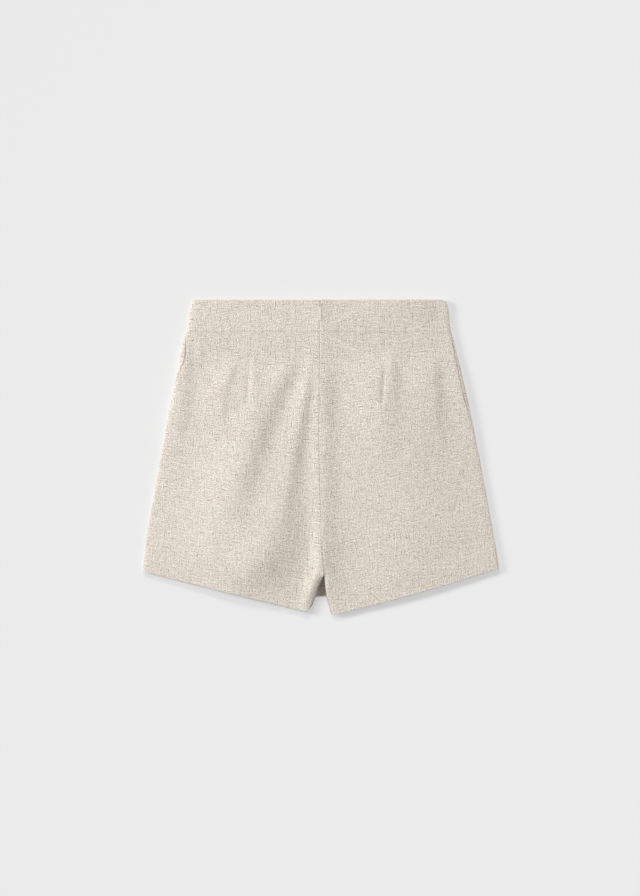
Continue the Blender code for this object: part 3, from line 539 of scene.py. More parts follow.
def seam_angle(side, down, top, away):
    """Angle on the side roll where a panel ends, away = +1 for the back and -1 for the front."""
    wrap = straight_row(SIDE_WRAP, side, down)
    middle = np.arccos((1.0 - wrap / ROLL_REACH) ** ROLL_SQUARENESS)
    mouth_top, mouth_end = POCKET_MOUTH[side]
    opened = step(*MOUTH_START, down - mouth_top) * (1.0 - step(*MOUTH_STOP, down - mouth_end))
    gap = SEAM_HALF_GAP + (SLIT_HALF_GAP[side] - SEAM_HALF_GAP) * opened
    rise = top - ROLL_HEIGHT
    speed = np.hypot(ROLL_REACH * np.sin(middle), rise * np.cos(middle))
    return middle + away * gap / speed


def roll_points(side, angles, outline, top, seam_height, inset):
    """X and height on the side roll, 90 degrees at its top and -90 at its base."""
    rise = np.where(angles > 0.0, top - seam_height, seam_height)
    start = outline - SIGN[side] * ROLL_REACH
    across = np.clip(np.cos(angles), 0.0, 1.0) ** (1.0 / ROLL_SQUARENESS)
    upward = np.sign(angles) * np.abs(np.sin(angles)) ** (1.0 / ROLL_SQUARENESS)
    return start + SIGN[side] * (ROLL_REACH - inset) * across, seam_height + (rise - inset) * upward


Rows = namedtuple("Rows", "share inset")


def hem_rows(body_rows, leg_rows, length):
    """Rows of a panel: in at the band's seam, down to the hem, round its fold and up inside."""
    after_top, before_fold, past_fold = 3.4 / length, 1.2 / length, 2.5 / length
    share = np.concatenate((
        np.array(PANEL_TOP_ROWS) / length,
        np.linspace(after_top, FORK_ROW, body_rows),
        np.linspace(FORK_ROW, 1.0 - before_fold, leg_rows)[1:],
    ))
    inset = np.zeros_like(share)
    inset[:len(PANEL_TOP_INSETS)] = PANEL_TOP_INSETS
    turn = np.radians(np.linspace(0.0, 180.0, 7))
    radius = HEM_FOLD / 2.0
    fold_share = 1.0 - radius * (1.0 - np.sin(turn)) / length
    fold_inset = radius * (1.0 - np.cos(turn))
    up_share = np.linspace(1.0 - past_fold, 1.0 - HEM_DEPTH / length, HEM_INNER_ROWS)
    return Rows(
        np.concatenate((share, fold_share, up_share)),
        np.concatenate((inset, fold_inset, np.full(HEM_INNER_ROWS, HEM_FOLD))),
    )


def seam_turn(side, down):
    """Where a back panel starts to turn in at the centre seam, further out towards the fork."""
    wider = step(FORK_TURN_START, LEG_EDGES[0].down, down)
    return centre_x(down) + SIGN[side] * (SEAM_TURN + (FORK_TURN - SEAM_TURN) * wider)


def leg_turn(side, down):
    """Where a back panel starts to turn in, all along the seam and the leg's inner edge."""
    below = read_row(LEG_EDGES, "turn_" + side, down)
    return np.where(down > LEG_EDGES[0].down, below, seam_turn(side, down))


def centre_half_gap(down):
    """Half the gap at the centre back, widest where the zip's bridge comes through the band."""
    zip_gap = ZIP_HALF_GAP - SEAM_HALF_GAP
    zip_gap = zip_gap * (1.0 - step(ZIP_END_DOWN - ZIP_END_FADE, ZIP_END_DOWN, down))
    return SEAM_HALF_GAP + zip_gap + SLOT_HALF_GAP * (1.0 - step(*SLOT_FADE, down))


def seam_drop(side, down):
    """How far an edge dips into the centre seam, less along the zip and in the slack below."""
    below = step(ZIP_END_DOWN - ZIP_END_FADE, ZIP_END_DOWN + ZIP_END_FADE, down)
    drop = ZIP_EDGE_DROP[side] * (1.0 - below) + SEAM_GROOVE * below
    return drop * (1.0 - SEAM_FLATTENED * step(*SEAM_FLATTENS, down))


def back_panel_points(side, rows):
    """One back leg as an array of rows, columns and (x, down, z)."""
    sign = SIGN[side]
    share = rows.share[:, None]
    inset = rows.inset[:, None]
    turn_down = line_down(share, LEG_FOOT[side])
    edge_down = line_down(share, LEG_WALL_FOOT[side])
    side_at = side_down(side, share)
    outline = side_x(side, side_at)
    leg = turn_down > LEG_EDGES[0].down
    edge = np.where(leg, read_row(LEG_EDGES, "edge_" + side, edge_down), centre_x(edge_down))
    edge = edge + sign * centre_half_gap(edge_down)
    turn = leg_turn(side, turn_down)
    loose = step(*FORK_OPENING, turn_down - CROTCH_DOWN)

    def down_at(x):
        across = (x - turn) / (outline - turn)
        return turn_down + (side_at - turn_down) * across + bow(side, across) * share**3

    turn_height = panel_lie(turn, turn_down)
    edge_height = turn_height - seam_drop(side, edge_down)
    edge_height = edge_height * (1.0 - loose) + (HEM_SOLID + LEG_EDGE_CLEARANCE) * loose
    angles = np.radians(np.linspace(0.0, 90.0, TURN_COLUMNS + 1))[None, :-1]
    cosine, sine = np.cos(angles), np.sin(angles)
    shrink = 1.0 - loose * inset / np.abs(edge - turn)
    turned = np.stack((
        turn + (edge - turn) * cosine * shrink,
        turn_down + (edge_down - turn_down) * cosine,
        edge_height - inset * (1.0 - loose)
        + (turn_height - edge_height - inset * loose) * sine,
    ), axis=-1)

    roll_start = outline - sign * ROLL_REACH
    x = turn + (roll_start - turn) * np.linspace(0.0, 1.0, PANEL_COLUMNS)[None, :]
    down = down_at(x)
    flat = np.stack((x, down, panel_lie(x, down) - inset), axis=-1)

    top = panel_lie(roll_start, down_at(roll_start))
    end = seam_angle(side, side_at, top, 1.0)
    turned_by = np.linspace(0.0, 1.0, ROLL_COLUMNS + 1)[None, 1:]
    angles = math.pi / 2.0 + (end - math.pi / 2.0) * turned_by
    x, z = roll_points(side, angles, outline, top, ROLL_HEIGHT, inset)
    rolled = np.stack((x, down_at(x), z), axis=-1)
    return np.concatenate((turned, flat, rolled), axis=1)


def front_panel_points(side, rows):
    """One front leg, flat on the table, that rolls up at its side to the seam."""
    sign = SIGN[side]
    share = rows.share[:, None]
    inset = rows.inset[:, None]
    edge_down = line_down(share, FRONT_FOOT[side])
    side_at = side_down(side, share)
    outline = side_x(side, side_at)
    below = edge_down > CROTCH_DOWN
    edge = np.where(below, straight_row(LEG_EDGES, "edge_left", edge_down), centre_x(edge_down))
    edge = edge + sign * HALF_GAP

    def down_at(x):
        across = (x - edge) / (outline - edge)
        return edge_down + (side_at - edge_down) * across + bow(side, across) * share**3

    roll_start = outline - sign * ROLL_REACH
    near = sign * np.array(FRONT_EDGE)[None, :]
    far = np.linspace(0.0, 1.0, FRONT_COLUMNS + 1)[None, 1:]
    start = edge + near[:, -1:]
    x = np.concatenate((edge + near, start + (roll_start - start) * far), axis=1)
    lift = np.concatenate((FRONT_EDGE_LIFT, np.zeros(FRONT_COLUMNS)))[None, :]
    flat = np.stack((x, down_at(x), lift * (1.0 - inset / BAND_CLOTH) + inset), axis=-1)

    turn_down = line_down(share, LEG_FOOT[side])
    turn = leg_turn(side, turn_down)
    top_down = turn_down + (side_at - turn_down) * (roll_start - turn) / (outline - turn)
    top = panel_lie(roll_start, top_down)
    end = seam_angle(side, side_at, top, -1.0)
    turned_by = np.linspace(0.0, 1.0, FRONT_ROLL_COLUMNS + 1)[None, 1:]
    angles = -math.pi / 2.0 + (end + math.pi / 2.0) * turned_by
    x, z = roll_points(side, angles, outline, top, ROLL_HEIGHT, inset)
    rolled = np.stack((x, down_at(x), z), axis=-1)
    return np.concatenate((flat, rolled), axis=1)


BandRows = namedtuple("BandRows", "down inset")


def band_rows():
    """Rows of a waistband: up its outer face from the seam, over the top fold, down inside."""
    radius = BAND_CLOTH / 2.0
    after_edge, before_fold, inner_end = WAISTBAND_DEPTH - 5.4, 2.4, WAISTBAND_DEPTH - 1.0
    outer = np.concatenate((
        WAISTBAND_DEPTH + np.array(BAND_EDGE_ROWS), np.linspace(after_edge, before_fold, BAND_ROWS)
    ))
    turn = np.radians(np.linspace(0.0, 180.0, 9))
    fold_down = radius * (1.0 - np.sin(turn))
    fold_inset = radius * (1.0 - np.cos(turn))
    inner = np.linspace(before_fold, inner_end, BAND_INNER_ROWS)
    inset = np.zeros_like(outer)
    inset[:len(BAND_EDGE_INSETS)] = BAND_EDGE_INSETS
    return BandRows(
        np.concatenate((outer, fold_down, inner)),
        np.concatenate((inset, fold_inset, np.full(BAND_INNER_ROWS, BAND_CLOTH))),
    )


def back_band_points(side):
    """Half of the back waistband, from the centre back zip to the side seam."""
    sign = SIGN[side]
    rows = band_rows()
    down = rows.down[:, None]
    inset = rows.inset[:, None]
    outline = side_x(side, down)
    edge = centre_x(down) + sign * centre_half_gap(down)
    turn = centre_x(down) + sign * SEAM_TURN
    roll_start = outline - sign * ROLL_REACH
    angles = np.radians(np.linspace(0.0, 90.0, BAND_TURN_COLUMNS + 1))[None, :-1]
    x = turn + (edge - turn) * np.cos(angles)
    height = band_lie(turn, down) - seam_drop(side, down) * (1.0 - np.sin(angles))
    turned = np.stack((x, down + 0.0 * x, height - inset), axis=-1)
    x = turn + (roll_start - turn) * np.linspace(0.0, 1.0, BAND_COLUMNS)[None, :]
    flat = np.stack((x, down + 0.0 * x, band_lie(x, down) - inset), axis=-1)
    top = band_lie(roll_start, down)
    end = HALF_GAP / (top - BAND_ROLL_HEIGHT)
    turned_by = np.linspace(0.0, 1.0, BAND_ROLL_COLUMNS + 1)[None, 1:]
    angles = math.pi / 2.0 + (end - math.pi / 2.0) * turned_by
    x, z = roll_points(side, angles, outline, top, BAND_ROLL_HEIGHT, inset)
    rolled = np.stack((x, down + 0.0 * x, z), axis=-1)
    return np.concatenate((turned, flat, rolled), axis=1)


def front_band_points():
    """The front waistband in one piece, flat on the table and rolled up at both sides."""
    rows = band_rows()
    down = rows.down[:, None]
    inset = rows.inset[:, None]
    ends = {}
    for side in ("left", "right"):
        outline = side_x(side, down)
        top = band_lie(outline - SIGN[side] * ROLL_REACH, down)
        end = -HALF_GAP / (top - BAND_ROLL_HEIGHT)
        turned_by = np.linspace(0.0, 1.0, FRONT_BAND_ROLL_COLUMNS)[None, :]
        angles = end + (-math.pi / 2.0 - end) * turned_by
        x, z = roll_points(side, angles, outline, top, BAND_ROLL_HEIGHT, inset)
        ends[side] = np.stack((x, down + 0.0 * x, z), axis=-1)
    start, stop = ends["left"][:, -1:, 0], ends["right"][:, -1:, 0]
    x = start + (stop - start) * np.linspace(0.0, 1.0, FRONT_BAND_COLUMNS + 2)[None, 1:-1]
    flat = np.stack((x, down + 0.0 * x, inset + 0.0 * x), axis=-1)
    return np.concatenate((ends["left"], flat, ends["right"][:, ::-1]), axis=1)


# ---------------------------------------------------------------- meshes and materials


def to_y(down):
    """The garment's middle along Y is the frame's zero."""
    return TOTAL_LENGTH / 2.0 - down


def cloth_map(points, start):
    """UV in metres on the cloth: its true width across from a start column, and its length."""
    across = np.hypot(np.diff(points[:, :, 0], axis=1), np.diff(points[:, :, 2], axis=1))
    width = np.concatenate((np.zeros((len(points), 1)), np.cumsum(across, axis=1)), axis=1)
    direction = np.sign(points[0, -1, 0] - points[0, 0, 0])
    u = points[:, start:start + 1, 0] + direction * (width - width[:, start:start + 1])
    steps = np.linalg.norm(np.diff(points, axis=0), axis=2)
    steps = np.median(steps, axis=1)
    v = np.concatenate(((0.0,), np.cumsum(steps)))[:, None] + points[:1, :, 1] * 0.0
    return np.stack((u, v + points[0, start, 1]), axis=-1) * MM


def cloth_object(name, points, start_column, faces_up, material, thickness, shade=None):
    """A thin shell on a grid of points, with its own UV map in cloth metres."""
    rows, columns = points.shape[:2]
    work = bmesh.new()
    bmesh.ops.create_grid(work, x_segments=columns - 1, y_segments=rows - 1, size=0.5)
    mesh = bpy.data.meshes.new(name)
    work.to_mesh(mesh)
    work.free()
    places = np.empty(len(mesh.vertices) * 3)
    mesh.vertices.foreach_get("co", places)
    places = places.reshape(-1, 3)
    column = np.rint((places[:, 0] + 0.5) * (columns - 1)).astype(int)
    row = np.rint((places[:, 1] + 0.5) * (rows - 1)).astype(int)
    placed = points[row, column]
    placed = np.stack((placed[:, 0], to_y(placed[:, 1]), placed[:, 2]), axis=1) * MM
    mesh.vertices.foreach_set("co", placed.ravel())
    mesh.update()
    middle = columns // 2
    across = points[FACE_ROW, middle + 1] - points[FACE_ROW, middle]
    along = points[FACE_ROW + 1, middle] - points[FACE_ROW, middle]
    grid_up = across[1] * along[0] > across[0] * along[1]
    if grid_up != faces_up:
        mesh.flip_normals()
    uv = cloth_map(points, start_column)[row, column]
    corners = np.empty(len(mesh.loops), dtype=int)
    mesh.loops.foreach_get("vertex_index", corners)
    layer = mesh.uv_layers.new(name="cloth")
    layer.data.foreach_set("uv", uv[corners].ravel())
    # Painted shade: a share per point, from 0 to 1, by which the linen's colour is darkened towards
    # dark brown
    if shade is not None:
        tone = mesh.attributes.new("shade", "FLOAT", "POINT")
        tone.data.foreach_set("value", shade(points)[row, column])
    mesh.materials.append(material)
    mesh.shade_smooth()
    piece = bpy.data.objects.new(name, mesh)
    bpy.context.collection.objects.link(piece)
    wall = piece.modifiers.new("Cloth wall", "SOLIDIFY")
    wall.thickness = thickness
    wall.offset = -1.0
    wall.use_rim = True
    return piece


def colour(hex_text):
    """sRGB hex text as a linear colour."""
    channels = [int(hex_text[i:i + 2], 16) / 255.0 for i in (0, 2, 4)]
    linear = [c / 12.92 if c <= 0.04045 else ((c + 0.055) / 1.055) ** 2.4 for c in channels]
    return (*linear, 1.0)


def add_node(tree, kind, links=None, **settings):
    """Adds a node; links name an input by key, and settings set its properties."""
    node = tree.nodes.new(kind)
    for key, value in settings.items():
        setattr(node, key, value)
    for key, value in (links or {}).items():
        if isinstance(value, bpy.types.NodeSocket):
            tree.links.new(value, node.inputs[key])
        else:
            node.inputs[key].default_value = value
    return node


def new_material(name):
    """An empty material with its tree and output."""
    made = bpy.data.materials.new(name)
    made.use_nodes = True
    made.node_tree.nodes.clear()
    return made, made.node_tree


def linen_material(cloth):
    """Undyed linen blend, plain weave of slubby heathered yarn, washed.

    The yarn is matte and speckled from thread to thread, with pale slubs that run along it, and
    its loose fibres catch a little light at a flat angle.
    """
    known = bpy.data.materials.get("Washed slub linen")
    if known:
        return known
    made, tree = new_material("Washed slub linen")

    place = add_node(tree, "ShaderNodeUVMap", uv_map="cloth").outputs[0]
    axes = add_node(tree, "ShaderNodeSeparateXYZ", {0: place})
    across, along = axes.outputs[0], axes.outputs[1]
    warp = add_node(
        tree, "ShaderNodeMath", {0: across, 1: cloth.warp_pitch}, operation="DIVIDE"
    ).outputs[0]
    weft = add_node(
        tree, "ShaderNodeMath", {0: along, 1: cloth.weft_pitch}, operation="DIVIDE"
    ).outputs[0]
    warp_number = add_node(tree, "ShaderNodeMath", {0: warp}, operation="FLOOR").outputs[0]
    weft_number = add_node(tree, "ShaderNodeMath", {0: weft}, operation="FLOOR").outputs[0]

    def along_thread(place, number, length, seed, detail, roughness):
        """Tone along one thread, unlike that of its neighbours."""
        here = add_node(
            tree, "ShaderNodeMath", {0: place, 1: length}, operation="DIVIDE"
        ).outputs[0]
        row = add_node(
            tree, "ShaderNodeMath", {0: number, 1: THREAD_STRIDE, 2: seed},
            operation="MULTIPLY_ADD",
        ).outputs[0]
        spot = add_node(tree, "ShaderNodeCombineXYZ", {0: here, 1: row}).outputs[0]
        noise = add_node(
            tree, "ShaderNodeTexNoise",
            {"Vector": spot, "Scale": 1.0, "Detail": detail, "Roughness": roughness},
            noise_dimensions="2D",
        ).outputs[0]
        return add_node(
            tree, "ShaderNodeMath", {0: noise, 1: 0.5}, operation="SUBTRACT"
        ).outputs[0]

    def against_next(place, number, length, seed, detail, roughness):
        """Tone along one thread set off against the next one, which it pushes aside."""
        here = along_thread(place, number, length, seed, detail, roughness)
        after = add_node(
            tree, "ShaderNodeMath", {0: number, 1: 1.0}, operation="ADD"
        ).outputs[0]
        beside = along_thread(place, after, length, seed, detail, roughness)
        return add_node(
            tree, "ShaderNodeMath", {0: beside, 1: NEXT_THREAD, 2: here},
            operation="MULTIPLY_ADD",
        ).outputs[0]

    def fibre_tone(aside, beyond):
        """Tone from 0 to 1 of the crossing that lies so many threads aside and beyond."""
        column = add_node(
            tree, "ShaderNodeMath", {0: warp_number, 1: aside}, operation="ADD"
        ).outputs[0]
        row = add_node(
            tree, "ShaderNodeMath", {0: weft_number, 1: beyond}, operation="ADD"
        ).outputs[0]
        spot = add_node(tree, "ShaderNodeCombineXYZ", {0: column, 1: row}).outputs[0]
        return add_node(
            tree, "ShaderNodeTexWhiteNoise", {"Vector": spot}, noise_dimensions="2D"
        ).outputs[0]

    def slub_tone(yarn):
        """What a yarn's tone has past the level where its slubs start, pale or dark."""
        level = add_node(
            tree, "ShaderNodeClamp", {0: yarn, 1: -SLUB_START, 2: SLUB_START}
        ).outputs[0]
        return add_node(
            tree, "ShaderNodeMath", {0: yarn, 1: level}, operation="SUBTRACT"
        ).outputs[0]

    def thread_round(number):
        """Rounded height across a thread, 0 at its edges and 1 at its middle."""
        turn = add_node(
            tree, "ShaderNodeMath", {0: number, 1: math.pi}, operation="MULTIPLY"
        ).outputs[0]
        wave = add_node(tree, "ShaderNodeMath", {0: turn}, operation="SINE").outputs[0]
        return add_node(tree, "ShaderNodeMath", {0: wave}, operation="ABSOLUTE").outputs[0]

    warp_tone = against_next(along, warp_number, cloth.warp_streak, *WARP_STREAK)
    weft_tone = against_next(across, weft_number, cloth.weft_streak, *WEFT_STREAK)

    # Thick places push their neighbours apart, so the tone evens out over a few threads
    speck = fibre_tone(0.0, 0.0)
    for aside, beyond in ((1.0, 0.0), (-1.0, 0.0), (0.0, 1.0), (0.0, -1.0)):
        around = add_node(
            tree, "ShaderNodeMath", {0: fibre_tone(aside, beyond), 1: 0.5}, operation="SUBTRACT"
        ).outputs[0]
        speck = add_node(
            tree, "ShaderNodeMath", {0: around, 1: NEXT_CROSSING, 2: speck},
            operation="MULTIPLY_ADD",
        ).outputs[0]

    # Warp and weft lie on top in turn
    crossing = add_node(
        tree, "ShaderNodeMath", {0: warp_number, 1: weft_number}, operation="ADD"
    ).outputs[0]
    over = add_node(
        tree, "ShaderNodeMath", {0: crossing, 1: 1.0}, operation="PINGPONG"
    ).outputs[0]
    warp_level = add_node(
        tree, "ShaderNodeMath", {0: warp_tone, 1: WARP_TONE}, operation="MULTIPLY"
    ).outputs[0]
    weft_level = add_node(
        tree, "ShaderNodeMath", {0: weft_tone, 1: WEFT_TONE}, operation="MULTIPLY"
    ).outputs[0]
    thread = add_node(
        tree, "ShaderNodeMix", {0: over, 2: weft_level, 3: warp_level}, data_type="FLOAT"
    ).outputs[0]
    fibre = add_node(
        tree, "ShaderNodeMath", {0: speck, 1: 0.5}, operation="SUBTRACT"
    ).outputs[0]
    tone = add_node(
        tree, "ShaderNodeMath", {0: fibre, 1: cloth.speckle, 2: 0.5}, operation="MULTIPLY_ADD"
    ).outputs[0]
    tone = add_node(tree, "ShaderNodeMath", {0: tone, 1: thread}, operation="ADD").outputs[0]
    slubs = add_node(
        tree, "ShaderNodeMath", {0: slub_tone(warp_tone), 1: slub_tone(weft_tone)},
        operation="ADD",
    ).outputs[0]
    tone = add_node(
        tree, "ShaderNodeMath", {0: slubs, 1: SLUB_TONE, 2: tone}, operation="MULTIPLY_ADD"
    ).outputs[0]
    ramp = add_node(tree, "ShaderNodeValToRGB", {0: tone})
    yarns = ramp.color_ramp.elements
    yarns[0].color = (*cloth.dark_yarn, 1.0)
    yarns[1].color = (*cloth.light_yarn, 1.0)
    yarns.new(0.5).color = (*cloth.yarn, 1.0)

    # Painted shade: the piece's shade attribute, from 0 to 1, mixes a dark brown into the yarn's
    # colour where the cloth lies in shade between the legs
    depth = add_node(tree, "ShaderNodeAttribute", attribute_name="shade").outputs["Fac"]
    colour_with_painted_shade = add_node(
        tree, "ShaderNodeMix", {0: depth, 6: ramp.outputs[0], 7: colour("3E2E20")},
        data_type="RGBA",
    ).outputs[2]

    relief = add_node(
        tree, "ShaderNodeMix", {0: over, 2: thread_round(weft), 3: thread_round(warp)},
        data_type="FLOAT",
    ).outputs[0]
    for part, share in ((speck, SPECK_RELIEF), (thread, THREAD_TONE_RELIEF)):
        relief = add_node(
            tree, "ShaderNodeMath", {0: part, 1: share, 2: relief}, operation="MULTIPLY_ADD"
        ).outputs[0]
    bump = add_node(
        tree, "ShaderNodeBump",
        {"Strength": 0.5, "Distance": cloth.thread_relief, "Height": relief},
    ).outputs[0]
    shader = add_node(tree, "ShaderNodeBsdfPrincipled", {
        "Base Color": colour_with_painted_shade, "Roughness": 0.88, "Normal": bump,
        "Sheen Weight": 0.12, "Sheen Roughness": 0.5, "Specular IOR Level": 0.25,
    })
    add_node(tree, "ShaderNodeOutputMaterial", {"Surface": shader.outputs[0]})
    return made


def plain_material(name, hex_text, roughness, scale_mm, depth_mm, specular):
    """A dyed or painted surface with fine even grain of a real size."""
    known = bpy.data.materials.get(name)
    if known:
        return known
    made, tree = new_material(name)
    place = add_node(tree, "ShaderNodeTexCoord").outputs["Object"]
    grain = add_node(
        tree, "ShaderNodeTexNoise",
        {"Vector": place, "Scale": 1.0 / (scale_mm * MM), "Detail": 2.0},
    ).outputs[0]
    base = colour(hex_text)
    dark = tuple(channel * DARK_GRAIN for channel in base[:3]) + (1.0,)
    tint = add_node(
        tree, "ShaderNodeMix", {0: grain, 6: dark, 7: base}, data_type="RGBA"
    ).outputs[2]
    bump = add_node(
        tree, "ShaderNodeBump",
        {"Strength": 0.4, "Distance": depth_mm * MM, "Height": grain},
    ).outputs[0]
    shader = add_node(tree, "ShaderNodeBsdfPrincipled", {
        "Base Color": tint, "Roughness": roughness, "Normal": bump,
        "Specular IOR Level": specular,
    })
    add_node(tree, "ShaderNodeOutputMaterial", {"Surface": shader.outputs[0]})
    return made


# ---------------------------------------------------------------- properties


class CulottesCloth(bpy.types.PropertyGroup):
    """Yarn and wall of the linen."""

    yarn: FloatVectorProperty(
        name="Yarn", description="Oatmeal of the greater part of the yarn",
        subtype="COLOR", size=3, min=0.0, max=1.0, default=colour("DCD2C6")[:3],
    )
    dark_yarn: FloatVectorProperty(
        name="Dark yarn", description="Darker fibres that speckle the cloth",
        subtype="COLOR", size=3, min=0.0, max=1.0, default=colour("A89A89")[:3],
    )
    light_yarn: FloatVectorProperty(
        name="Light yarn", description="Pale slubs",
        subtype="COLOR", size=3, min=0.0, max=1.0, default=colour("F4EFE8")[:3],
    )
    # Real linen of this weight has about 0.6 mm from thread to thread, too fine for the render
    warp_pitch: FloatProperty(
        name="Warp pitch", description="Distance between lengthwise threads, drawn coarse to show",
        unit="LENGTH", default=0.00115, min=0.0003, max=0.004, precision=5,
    )
    weft_pitch: FloatProperty(
        name="Weft pitch", description="Distance between crosswise threads, drawn coarse to show",
        unit="LENGTH", default=0.0012, min=0.0003, max=0.004, precision=5,
    )
    thread_relief: FloatProperty(
        name="Thread relief", description="How far a thread stands out of the weave",
        unit="LENGTH", default=0.00022, min=0.0, max=0.002, precision=5,
    )
    warp_streak: FloatProperty(
        name="Warp streak", description="Length over which a lengthwise thread changes its tone",
        unit="LENGTH", default=0.017, min=0.001, max=0.2, precision=4,
    )
    weft_streak: FloatProperty(
        name="Weft streak", description="Length over which a crosswise thread changes its tone",
        unit="LENGTH", default=0.012, min=0.001, max=0.2, precision=4,
    )
    speckle: FloatProperty(
        name="Speckle", description="How much the tone jumps from crossing to crossing",
        default=0.66, min=0.0, max=2.0,
    )
    wall: FloatProperty(
        name="Cloth thickness", description="Thickness of one layer of linen",
        unit="LENGTH", default=0.0006, min=0.0002, max=0.0012, precision=5,
    )


class CulottesStage(bpy.types.PropertyGroup):
    """Floor, light and camera."""

    floor: FloatVectorProperty(
        name="Floor", description="Colour of the plain floor",
        subtype="COLOR", size=3, min=0.0, max=1.0, default=(0.8, 0.8, 0.8),
    )
    light_level: FloatProperty(
        name="Light level", description="Light on the table at the garment's middle, over pi",
        default=1.047, min=0.0,
    )
    side_share: FloatProperty(
        name="Side light", description="Share of the light that comes from the softbox on the left",
        subtype="FACTOR", default=0.2, min=0.0, max=1.0,
    )
    side_distance: FloatProperty(
        name="Side light distance", description="From the garment's middle to the softbox",
        unit="LENGTH", default=2.5, min=0.5,
    )
    side_size: FloatProperty(
        name="Side light size", description="Width of the softbox",
        unit="LENGTH", default=0.6, min=0.05,
    )
    side_height: FloatProperty(
        name="Side light height", description="Angle of the softbox above the table",
        subtype="ANGLE", default=math.radians(21.0),
    )
    side_turn: FloatProperty(
        name="Side light direction", description="Direction of the softbox, round from +X",
        subtype="ANGLE", default=math.radians(165.0),
    )
    far_share: FloatProperty(
        name="Far light", description="Share of the light that comes from beyond the waist",
        subtype="FACTOR", default=0.12, min=0.0, max=1.0,
    )
    far_height: FloatProperty(
        name="Far light height", description="Angle of the far light above the table",
        subtype="ANGLE", default=math.radians(30.0),
    )
    far_turn: FloatProperty(
        name="Far light direction", description="Direction of the far light, round from +X",
        subtype="ANGLE", default=math.radians(108.0),
    )
    far_softness: FloatProperty(
        name="Far light softness", description="Width of the far light as seen from the table",
        subtype="ANGLE", default=math.radians(14.0),
    )
    ceiling_share: FloatProperty(
        name="Ceiling light", description="Share of the light that comes straight down",
        subtype="FACTOR", default=0.5, min=0.0, max=1.0,
    )
    ceiling_softness: FloatProperty(
        name="Ceiling softness", description="Width of the overhead light as seen from the table",
        subtype="ANGLE", default=math.radians(30.0),
    )
    pixel: FloatProperty(
        name="Scale", description="Size on the table that one pixel of a 640 by 896 picture covers",
        unit="LENGTH", default=0.00133, min=0.0001, max=0.01, precision=5,
    )
    lens: FloatProperty(
        name="Lens", description="Focal length of the camera in millimetres",
        default=85.0, min=20.0, max=300.0,
    )


# ---------------------------------------------------------------- operators


def place_piece(piece, body, node):
    """Rides a finished piece on its body and hides the node whose place it takes."""
    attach(piece, body)
    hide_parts(node)


def direction(turn, height):
    """Unit vector towards a light at a direction round from +X and a height above the table."""
    flat = math.cos(height)
    return Vector((flat * math.cos(turn), flat * math.sin(turn), math.sin(height)))


def floor_material(stage):
    """Matte pale backdrop, its tone evened against the side light's fall-off."""
    made, tree = new_material("Matte pale floor")
    place = add_node(tree, "ShaderNodeTexCoord").outputs["Object"]
    light = direction(stage.side_turn, stage.side_height) * stage.side_distance
    reach = add_node(
        tree, "ShaderNodeVectorMath", {0: place, 1: tuple(light)}, operation="DISTANCE"
    ).outputs["Value"]
    near = add_node(
        tree, "ShaderNodeMath", {0: stage.side_distance, 1: reach}, operation="DIVIDE"
    ).outputs[0]
    cube = add_node(tree, "ShaderNodeMath", {0: near, 1: 3.0}, operation="POWER").outputs[0]
    level = add_node(
        tree, "ShaderNodeMath", {0: cube, 1: stage.side_share, 2: 1.0 - stage.side_share},
        operation="MULTIPLY_ADD",
    ).outputs[0]
    tone = add_node(
        tree, "ShaderNodeVectorMath", {0: tuple(stage.floor), 1: level}, operation="DIVIDE"
    ).outputs[0]
    shader = add_node(tree, "ShaderNodeBsdfDiffuse", {"Color": tone})
    add_node(tree, "ShaderNodeOutputMaterial", {"Surface": shader.outputs[0]})
    return made


def add_light(name, kind, energy, towards, distance=0.0, **settings):
    """Adds a light that shines on the garment's middle."""
    lamp = bpy.data.lights.new(name, kind)
    lamp.energy = energy
    for key, value in settings.items():
        setattr(lamp, key, value)
    light = bpy.data.objects.new(name, lamp)
    light.location = towards * distance
    light.rotation_euler = towards.to_track_quat("Z", "Y").to_euler()
    bpy.context.collection.objects.link(light)


class CULOTTES_OT_stage(bpy.types.Operator):
    """Make the pale floor, the soft studio lights and the camera overhead"""

    bl_idname = "culottes.stage"
    bl_label = "Stage"

    def execute(self, context):
        stage = context.scene.culottes_stage
        work = bmesh.new()
        bmesh.ops.create_grid(work, x_segments=1, y_segments=1, size=FLOOR_HALF)
        bmesh.ops.translate(work, vec=(0.0, 0.0, -FLOOR_DROP), verts=work.verts)
        mesh = bpy.data.meshes.new("floor")
        work.to_mesh(mesh)
        work.free()
        floor = bpy.data.objects.new("floor", mesh)
        context.collection.objects.link(floor)
        mesh.materials.append(floor_material(stage))

        level = stage.light_level * math.pi
        side = direction(stage.side_turn, stage.side_height)
        power = level * math.pi * stage.side_share * stage.side_distance**2 / side.z
        add_light("side", "AREA", power, side, stage.side_distance, size=stage.side_size)
        far = direction(stage.far_turn, stage.far_height)
        add_light("far", "SUN", level * stage.far_share / far.z, far, angle=stage.far_softness)
        up = Vector((0.0, 0.0, 1.0))
        add_light("ceiling", "SUN", level * stage.ceiling_share, up, angle=stage.ceiling_softness)

        world = bpy.data.worlds.new("soft room")
        world.use_nodes = True
        rest = 1.0 - stage.side_share - stage.far_share - stage.ceiling_share
        background = world.node_tree.nodes["Background"]
        background.inputs["Color"].default_value = (1.0, 1.0, 1.0, 1.0)
        background.inputs["Strength"].default_value = rest * stage.light_level
        context.scene.world = world

        camera = bpy.data.cameras.new("overhead")
        camera.lens = stage.lens
        distance = PICTURE_TALL * stage.pixel * camera.lens / camera.sensor_width
        camera.clip_end = 4.0 * distance
        overhead = bpy.data.objects.new("overhead", camera)
        x, y = PICTURE_MIDDLE
        overhead.location = (x * stage.pixel, y * stage.pixel, distance)
        context.collection.objects.link(overhead)
        context.scene.camera = overhead
        context.scene.view_settings.view_transform = "Standard"
        return {"FINISHED"}


